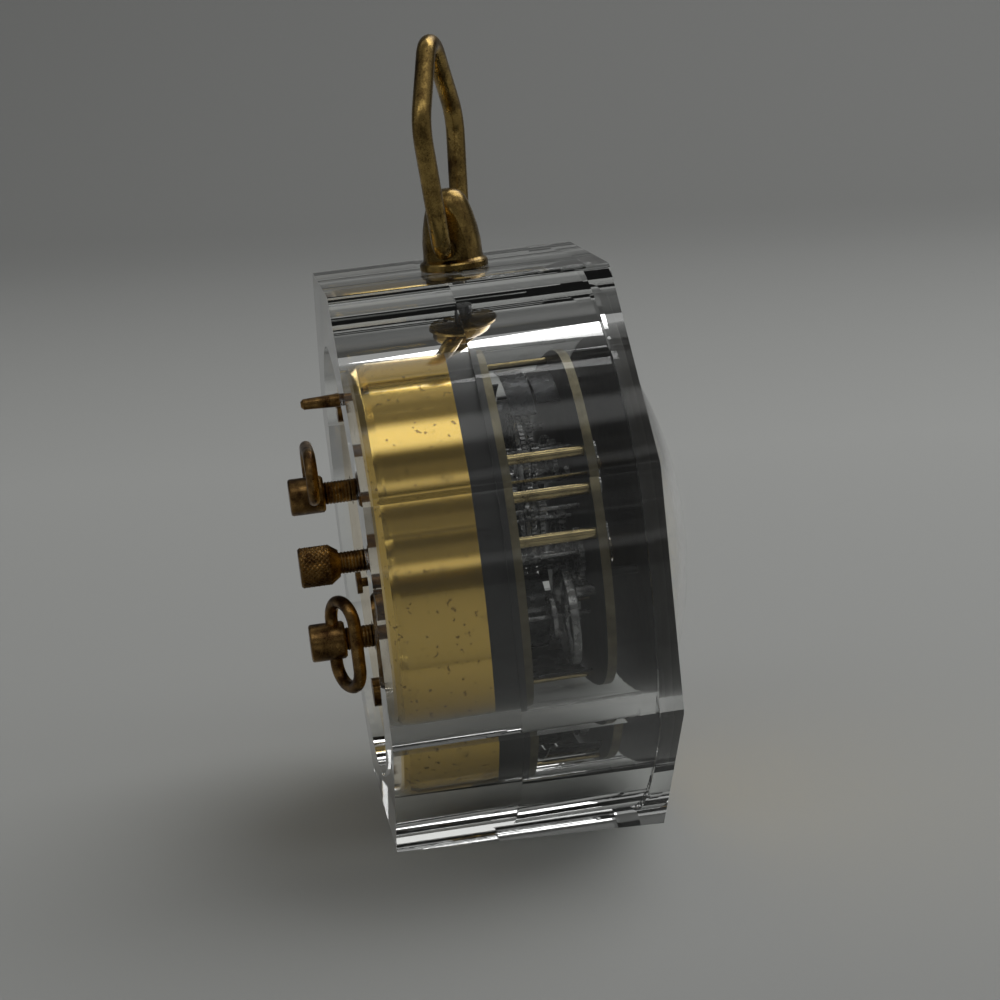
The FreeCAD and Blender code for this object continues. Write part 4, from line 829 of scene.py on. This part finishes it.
@dataclass
class Handle:
    """Turned boss with flat cheeks and the bent wire bail."""

    base: float = STAND.half_flats
    pivot_rise: float = 3.4 * MM
    turn: float = -21.0 * DEGREE
    cheek: float = 3.4 * MM
    cheek_gap: float = 0.3 * MM
    cut_from: float = 1.3 * MM
    flat_from: float = 1.36 * MM
    turns: int = 96
    boss_sharp: float = 28 * DEGREE
    wire: float = 1.5 * MM
    sides: int = 32
    bend_steps: int = 14
    wire_sharp: float = 50 * DEGREE
    foot_half: float = 6.1 * MM
    bend_half: float = 10.6 * MM
    bend_rise: float = 19.8 * MM
    top_rise: float = 34.0 * MM
    rounds: tuple[float, ...] = (0.0, 2.0 * MM, 7.0 * MM, 3.6 * MM, 7.0 * MM, 2.0 * MM, 0.0)
    boss_mm: tuple[Pair, ...] = (
        (0.0, 0.0), (5.25, 0.0), (5.4, 0.15), (5.4, 0.95), (5.25, 1.2), (4.95, 1.35), (4.75, 1.6), (4.7, 2.2),
        (4.62, 4.4), (4.3, 6.6), (3.85, 8.6), (3.35, 10.2), (2.9, 11.2), (2.3, 11.95), (1.5, 12.4), (0.7, 12.58),
        (0.0, 12.6),
    )

    def place(self) -> Matrix:
        """World matrix of the handle's own turned space."""
        return STAND.matrix @ Matrix.Rotation(self.turn, 4, "Z")

    def boss(self) -> bpy.types.Mesh:
        """Turned boss, cut flat on both cheeks above its flange.

        Returns:
            The mesh in world coordinates.
        """
        maker = turned([(radius * MM, rise * MM) for radius, rise in self.boss_mm], self.turns)
        maker.transform(Matrix.Rotation(90 * DEGREE, 4, "X"))
        for sign in (1, -1):
            above = [face for face in maker.faces if face.calc_center_median().z > self.cut_from]
            parts = above + list({edge for face in above for edge in face.edges})
            parts += list({vert for face in above for vert in face.verts})
            bmesh.ops.bisect_plane(maker, geom=parts, plane_co=(sign * self.cheek, 0, 0), plane_no=(sign, 0, 0))
        for vert in maker.verts:
            if vert.co.z > self.flat_from and abs(vert.co.x) > self.cheek:
                vert.co.x = math.copysign(self.cheek, vert.co.x)
        return finished(maker, "boss", self.place() @ Matrix.Translation((0, 0, self.base)))

    def bail(self) -> bpy.types.Mesh:
        """Bent wire with its pins turned inwards.

        Returns:
            The mesh in world coordinates.
        """
        pivot = self.base + self.pivot_rise
        half = [Vector((self.cheek + self.cheek_gap, 0, pivot)), Vector((self.foot_half, 0, pivot)),
                Vector((self.bend_half, 0, pivot + self.bend_rise))]
        corners = half + [Vector((0, 0, pivot + self.top_rise))]
        corners += [Vector((-corner.x, 0, corner.z)) for corner in reversed(half)]
        return tube(rounded(corners, self.rounds, self.bend_steps), self.wire, False, self.place(), self.sides)

    def build(self, shop: Workshop) -> None:
        """Builds the boss and the bail.

        Args:
            shop: the workshop.
        """
        shop.add("bail_boss", self.boss(), shop.finishes.aged, Owner("case", "aged_brass", ("handle_boss",)),
                 sharp=self.boss_sharp)
        shop.add("bent_bail", self.bail(), shop.finishes.aged, Owner("bail", "aged_brass", ("handle_bail",)),
                 sharp=self.wire_sharp)


@dataclass
class Crystal:
    """Domed crystal with its flat flange."""

    rim: float = 34.2 * MM
    flange: float = 35.9 * MM
    flange_rear: float = -20.0 * MM
    flange_front: float = -21.4 * MM
    top: float = -31.9 * MM
    wall: float = 1.8 * MM
    steps: int = 24
    turns: int = 192
    sharp: float = 25 * DEGREE

    def arc(self, radius: float, rim_y: float, top_y: float) -> list[Pair]:
        """Points of a dome from its rim to its top.

        Args:
            radius: the rim's radius.
            rim_y: the rim's y.
            top_y: the top's y.

        Returns:
            Points (radius, y).
        """
        rise = rim_y - top_y
        ball = (radius ** 2 + rise ** 2) / (2 * rise)
        reach = math.asin(radius / ball)
        angles = [reach * (1 - step / self.steps) for step in range(self.steps)]
        return [(ball * math.sin(angle), top_y + ball * (1 - math.cos(angle))) for angle in angles] + [(0.0, top_y)]

    def build(self, shop: Workshop) -> None:
        """Builds the crystal.

        Args:
            shop: the workshop.
        """
        outer = self.arc(self.rim, self.flange_front, self.top)
        inner = self.arc(self.rim - self.wall, self.flange_rear, self.top + self.wall)
        profile = inner[::-1] + [(self.flange, self.flange_rear), (self.flange, self.flange_front)] + outer
        shop.add("dome_crystal", finished(turned(profile, self.turns), "dome", STAND.matrix), shop.finishes.dome,
                 Owner("case", "clear_acrylic", ("crystal",)), sharp=self.sharp)


def threaded(radius: float, low: float, high: float) -> list[Pair]:
    """Profile of a shank's closed end and its fine thread.

    Args:
        radius: the shank's radius.
        low: where it starts on the axis.
        high: where it ends.

    Returns:
        Points (radius, y), from the axis to the end of the thread.
    """
    pitch, depth, points_each = 0.55 * MM, 0.12 * MM, 6
    profile = [(0.0, low), (radius, low)]
    steps = int((high - low) / pitch * points_each)
    for step in range(1, steps):
        y = low + (high - low) * step / steps
        cut = 0.5 + 0.5 * math.cos(2 * math.pi * y / pitch)
        profile.append((radius - depth * cut, y))
    return profile + [(radius, high)]


@dataclass
class Winder:
    """A winding key: hub, fine-threaded shank and wire bow."""

    name: str
    x: float
    z: float
    bow_turn: float
    bow_fold: float
    hub: float = 3.1 * MM
    hub_low: float = 24.3 * MM
    hub_high: float = 30.1 * MM
    ease: float = 0.35 * MM
    ease_middle: Pair = (0.4, 0.3)
    turns: int = 72
    shank: float = 1.9 * MM
    shank_low: float = 11.7 * MM
    wire: float = 1.05 * MM
    sides: int = 28
    bend_steps: int = 12
    length: float = 14.2 * MM
    width: float = 7.5 * MM
    bend: float = 3.6 * MM
    hole_y: float = 26.2 * MM

    def hub_profile(self) -> list[Pair]:
        """Profile of the shank and the hub with its eased edges.

        Returns:
            Points (radius, y).
        """
        hub, low, high, ease = self.hub, self.hub_low, self.hub_high, self.ease
        inward, down = (share * ease for share in self.ease_middle)
        return threaded(self.shank, self.shank_low, low) + [
            (hub - ease, low), (hub, low + ease), (hub, high - ease), (hub - inward, high - down),
            (hub - ease, high), (0.0, high)]

    def build(self, shop: Workshop) -> None:
        """Builds the key and its bow.

        Args:
            shop: the workshop.
        """
        place = STAND.matrix @ Matrix.Translation((self.x, 0, self.z))
        shop.add(self.name + "_key_turned", finished(turned(self.hub_profile(), self.turns), "key", place),
                 shop.finishes.key, Owner(self.name + "_winder", "aged_brass", (self.name + "_key",)))
        half = self.length / 2
        corners = [Vector((half, 0, 0)), Vector((half, 0, self.width)), Vector((-half, 0, self.width)),
                   Vector((-half, 0, 0))]
        bow = place @ Matrix.Translation((0, self.hole_y, 0))
        bow = bow @ Matrix.Rotation(self.bow_turn, 4, "Y") @ Matrix.Rotation(self.bow_fold, 4, "X")
        path = rounded(corners, [self.bend] * len(corners), self.bend_steps)
        shop.add(self.name + "_bow_wire", tube(path, self.wire, True, bow, self.sides), shop.finishes.key,
                 Owner(self.name + "_bow", "aged_brass", (self.name + "_key_bow",)), Smooth.ROUND)


@dataclass
class SetKnob:
    """Diamond-knurled set knob on its threaded shank."""

    radius: float = 3.3 * MM
    low: float = 23.9 * MM
    high: float = 30.3 * MM
    taper: float = 1.5 * MM
    taper_share: float = 0.75
    ease: float = 0.3 * MM
    shank: float = 1.8 * MM
    shank_low: float = 11.7 * MM
    knurl: float = 0.16 * MM
    ridges: int = 26
    points_each: int = 8
    rows: int = 40
    sharp: float = 25 * DEGREE

    def knurled(self, radius: float, y: float, angle: float) -> float:
        """Radius with the diamond knurl on the knob's cylinder.

        Args:
            radius: the smooth radius.
            y: the place along the axis.
            angle: the place round the axis.

        Returns:
            The radius with the knurl.
        """
        smooth_edge = 0.02 * MM
        if radius < self.radius - smooth_edge or y < self.low + self.taper:
            return radius
        around = angle * self.ridges / (2 * math.pi)
        along = (y - self.low) * self.ridges / (2 * math.pi * self.radius)
        first = abs((around + along) % 1 - 0.5) * 2
        second = abs((around - along) % 1 - 0.5) * 2
        return radius - self.knurl * max(1 - first, 1 - second)

    def build(self, shop: Workshop) -> None:
        """Builds the knob.

        Args:
            shop: the workshop.
        """
        profile = threaded(self.shank, self.shank_low, self.low)
        profile.append((self.radius - self.taper * self.taper_share, self.low))
        start, end = self.low + self.taper, self.high - self.ease
        profile += [(self.radius, start + (end - start) * row / self.rows) for row in range(self.rows + 1)]
        profile += [(self.radius - self.ease, self.high), (0.0, self.high)]
        mesh = finished(turned(profile, self.ridges * self.points_each, self.knurled), "knob", STAND.matrix)
        shop.add("knurled_knob", mesh, shop.finishes.key, Owner("hand_setting", "aged_brass", ("set_knob",)),
                 sharp=self.sharp)


@dataclass
class Movement:
    """The cup, wheels, plates and hands, carried over from the frame with their finishes."""

    cup: tuple[str, ...] = ("bell_cover",)
    plates: tuple[str, ...] = ("rear_plate", "front_plate")
    brasses: tuple[str, ...] = (
        "movement_pillars", "cover_posts", "cannon_pinion", "hour_wheel", "minute_wheel", "alarm_disc",
    )
    steels: tuple[str, ...] = (
        "center_wheel", "third_wheel", "fourth_wheel", "escape_wheel", "balance_wheel", "alarm_escape_wheel",
        "hammer", "hairspring_stud", "handle_stud", "pillar_nuts", "plate_screws", "click_screws", "time_click",
        "alarm_click", "center_pinion", "third_pinion", "fourth_pinion", "escape_pinion", "alarm_pinion",
        "pallet_lever", "pallet_cock", "balance_staff", "center_arbor", "hammer_arbor", "hairspring",
        "time_winding_arbor", "alarm_winding_arbor",
    )
    blacks: tuple[str, ...] = ("time_barrel", "alarm_barrel", "time_great_wheel", "alarm_great_wheel")
    inked: tuple[str, ...] = ("hour_marks", "minute_hand", "hour_hand")
    reds: tuple[str, ...] = ("alarm_hand",)
    dials: tuple[str, ...] = ("dial",)
    bezels: tuple[str, ...] = ("bezel_ring",)
    rings: tuple[str, ...] = ("movement_ring",)
    small: tuple[str, ...] = ("cover_screws", "alarm_stop_pin", "regulator_lever")

    def build(self, shop: Workshop) -> None:
        """Dresses every carried-over solid.

        Args:
            shop: the workshop.
        """
        finish = shop.finishes
        for names, material in (
                (self.cup, finish.cover), (self.plates, finish.plate), (self.brasses, finish.pillar),
                (self.steels, finish.steel), (self.blacks, finish.black), (self.inked, finish.ink),
                (self.reds, finish.red), (self.dials, finish.dial), (self.bezels, finish.bezel),
                (self.rings, finish.dark), (self.small, finish.key)):
            for name in names:
                shop.dress_node(name, material)


@dataclass
class MinuteTrack:
    """Fine printed strokes between the hour marks of the dial."""

    face_y: float = -20.0 * MM
    thick: float = 0.05 * MM
    low: float = 29.9 * MM
    high: float = 31.5 * MM
    half_wide: float = 0.11 * MM
    minutes: int = 60
    mark_every: int = 5

    def build(self, shop: Workshop) -> None:
        """Builds the strokes as one piece, without those under an hour mark.

        Args:
            shop: the workshop.
        """
        outline = [(-self.half_wide, self.low), (self.half_wide, self.low), (self.half_wide, self.high),
                   (-self.half_wide, self.high)]
        maker = bmesh.new()
        for minute in range(self.minutes):
            if minute % self.mark_every:
                turn = Matrix.Rotation(2 * math.pi * minute / self.minutes, 3, "Y")
                skin(maker, [[turn @ Vector((x, y, z)) for x, z in outline]
                             for y in (self.face_y, self.face_y - self.thick)])
        shop.add("minute_track", finished(maker, "minute_track", STAND.matrix), shop.finishes.ink,
                 Owner("case", "black_paint"), Smooth.FLAT)


@dataclass
class PaintedShadeBands:
    """Dark metal bands bent round the far side of the movement: painted shade behind the wheels."""

    rear: float = -1.1 * MM
    radius: float = 27.7 * MM
    inset: float = 0.55 * MM
    thick: float = 0.5 * MM
    fewest_steps: int = 6
    degrees_each: float = 3.0
    bands: tuple[tuple[float, float, float, float], ...] = (
        (-128, -70, 3.0, 11.4), (-74, 58, 2.6, 5.2), (-70, 40, 5.6, 7.6), (-38, 66, 8.0, 9.6), (-72, -30, 7.9, 11.5),
        (-24, 62, 9.9, 11.5), (92, 132, 2.8, 6.6), (98, 126, 7.2, 10.8),
    )

    def band(self, inner: float, first: float, last: float, low: float, high: float) -> bpy.types.Mesh:
        """One bent band.

        Args:
            inner: its inner radius.
            first: its first angle in degrees.
            last: its last angle in degrees.
            low: where it starts before the rear plate, in millimetres.
            high: where it ends before the rear plate, in millimetres.

        Returns:
            The mesh in world coordinates.
        """
        outer = inner + self.thick
        start, end = self.rear - low * MM, self.rear - high * MM
        steps = max(self.fewest_steps, int((last - first) / self.degrees_each))
        rings = []
        for step in range(steps + 1):
            angle = (first + (last - first) * step / steps) * DEGREE
            rings.append([Vector((radius * math.cos(angle), y, radius * math.sin(angle)))
                          for radius, y in ((inner, start), (outer, start), (outer, end), (inner, end))])
        maker = bmesh.new()
        skin(maker, rings)
        return finished(maker, "band", STAND.matrix)

    def build(self, shop: Workshop) -> None:
        """Builds the bands, every other one a little further in.

        Args:
            shop: the workshop.
        """
        for count, band in enumerate(self.bands):
            mesh = self.band(self.radius - self.inset * (count % 2), *band)
            # Each band is painted shade: dark metal where the far side of the movement lies in shadow.
            shop.add(f"painted_shade_band_{count}", mesh, shop.finishes.black, Owner("case", "dark_metal"))


@dataclass
class Studio:
    """Floor, backdrop, lamp, surroundings and camera.

    The sky's stops are (angle, grey), with the angle from the keys' side over the top. The floor's are (distance,
    grey), with the distance along x and up the backdrop: painted light, paler by the clock and darker up the
    backdrop.
    """

    eye: Triple = (-0.3696, 0.0486, 0.1280)
    ahead: Triple = (0.9708, -0.1267, -0.2039)
    right: Triple = (-0.1373, -0.9898, -0.0382)
    focal_pixels: float = 2354.5
    image_pixels: float = 1000.0
    sensor: float = 36.0
    clip: Pair = (0.01, 50.0)
    sky: tuple[Pair, ...] = (
        (0, 0.04), (14, 0.03), (18, 0.50), (21, 0.50), (25, 0.11), (34, 0.10), (38, 0.04), (46, 0.05), (53, 1.10),
        (68, 1.15), (75, 0.13), (92, 0.16), (98, 0.30), (114, 0.32), (120, 0.30), (180, 0.30),
    )
    sky_cast: Triple = (1.0, 1.005, 0.99)
    fade: Pair = (0.55, 0.85)
    side_grey: float = 0.22
    beyond: float = 0.12
    # Painted light on the floor: a pool of light by the clock, fading darker far off and up the backdrop.
    painted_light_greys: tuple[Pair, ...] = (
        (-0.5, 0.28), (-0.09, 0.32), (0.0, 0.355), (0.3, 0.38), (0.68, 0.275), (1.0, 0.195), (2.0, 0.17),
    )
    floor_cast: Triple = (1.0, 1.012, 0.985)
    floor_rough: float = 0.7
    near: float = -4.0
    far: float = 0.9
    half_wide: float = 5.0
    bend: float = 0.6
    bend_steps: int = 16
    height: float = 2.4
    lamp_at: Triple = (0.70, -0.90, 1.65)
    lamp_target: Triple = (0.0, 0.0, 0.05)
    lamp_size: float = 1.5
    lamp_watts: float = 19.5

    def camera(self) -> None:
        """Places the camera at the photograph's viewpoint."""
        data = bpy.data.cameras.new("view")
        data.sensor_width = self.sensor
        data.lens = self.focal_pixels * self.sensor / self.image_pixels
        data.clip_start, data.clip_end = self.clip
        ahead = Vector(self.ahead).normalized()
        right = Vector(self.right)
        right = (right - ahead * right.dot(ahead)).normalized()
        turn = Matrix((right, right.cross(ahead), -ahead)).transposed()
        camera = bpy.data.objects.new("view", data)
        camera.matrix_world = Matrix.Translation(self.eye) @ turn.to_4x4()
        bpy.context.scene.collection.objects.link(camera)
        bpy.context.scene.camera = camera

    def floor(self) -> None:
        """Pale floor that curves up far behind the clock."""
        profile = [(self.near, 0.0), (self.far, 0.0)]
        for step in range(1, self.bend_steps + 1):
            angle = 90 * DEGREE * step / self.bend_steps
            profile.append((self.far + self.bend * math.sin(angle), self.bend * (1 - math.cos(angle))))
        profile.append((self.far + self.bend, self.height))
        maker = bmesh.new()
        rows = [[maker.verts.new((x, side, z)) for side in (-self.half_wide, self.half_wide)] for x, z in profile]
        for first, second in zip(rows, rows[1:]):
            maker.faces.new((first[0], second[0], second[1], first[1]))
        mesh = finished(maker, "floor", Matrix())
        for polygon in mesh.polygons:
            polygon.use_smooth = True
        mesh.materials.append(self.floor_painted_light())
        floor = bpy.data.objects.new("floor", mesh)
        bpy.context.scene.collection.objects.link(floor)

    def floor_painted_light(self) -> bpy.types.Material:
        """Matt grey with painted light: paler towards the clock and darker up the backdrop.

        Returns:
            The material.
        """
        dress = Dress("floor_painted_light")
        where = dress.node("ShaderNodeTexCoord", out="Object")
        first, last = self.painted_light_greys[0][0], self.painted_light_greys[-1][0]
        along = dress.band(dress.split(where, "X") + dress.split(where, "Z"), first, last)
        stops = [((place - first) / (last - first), shade(self.floor_cast, grey)) for place, grey in self.painted_light_greys]
        return dress.done(dress.principled({"Base Color": dress.ramp(along, *stops), "Roughness": self.floor_rough}))

    def lamp(self) -> None:
        """Adds the one soft square lamp, which looks at the clock."""
        data = bpy.data.lights.new("key", "AREA")
        data.shape = "RECTANGLE"
        data.size = data.size_y = self.lamp_size
        data.energy = self.lamp_watts
        lamp = bpy.data.objects.new("key", data)
        way = Vector(self.lamp_target) - Vector(self.lamp_at)
        lamp.rotation_euler = way.to_track_quat("-Z", "Y").to_euler()
        lamp.location = self.lamp_at
        bpy.context.scene.collection.objects.link(lamp)

    def surroundings(self) -> None:
        """Soft room with brighter bands overhead, which fade to plain grey towards the dial's and keys' sides."""
        world = bpy.data.worlds.new("surroundings")
        bpy.context.scene.world = world
        world.use_nodes = True
        room = Tree(world.node_tree)
        way = room.node("ShaderNodeTexCoord", out="Generated")
        turn = room.split(way, "Z").angle(0 - room.split(way, "X")) * (1 / math.pi)
        stops = [(angle / 180, shade(self.sky_cast, grey)) for angle, grey in self.sky]
        bands = room.ramp(turn.clamped(), *stops)
        side = room.band(abs(room.split(way, "Y")), *self.fade)
        seen = room.node("ShaderNodeLightPath", out="Is Camera Ray")
        colour = room.mixed(seen, room.mixed(side, bands, shade(EVEN, self.side_grey)), shade(EVEN, self.beyond))
        glow = room.node("ShaderNodeBackground", None, {"Color": colour})
        room.add("ShaderNodeOutputWorld", None, {"Surface": glow})

    def build(self) -> None:
        """Builds the studio."""
        self.surroundings()
        self.floor()
        self.camera()
        self.lamp()
        bpy.context.scene.view_settings.view_transform = "Standard"


def main() -> None:
    """Builds the studio and every sub-assembly in order."""
    logging.basicConfig(level=logging.INFO, format="%(name)s: %(message)s")
    Studio().build()
    shop = Workshop(Finishes())
    time_key = Winder("time", x=2.0 * MM, z=-13.2 * MM, bow_turn=-90 * DEGREE, bow_fold=26 * DEGREE)
    alarm_key = Winder("alarm", x=15.0 * MM, z=8.6 * MM, bow_turn=0.0, bow_fold=0.0)
    for part in (ClearBody(), Handle(), Crystal(), time_key, alarm_key, SetKnob(), Movement(), MinuteTrack(),
                 PaintedShadeBands()):
        part.build(shop)
        log.info("finished %s", type(part).__name__)


if __name__ == "__main__":
    main()
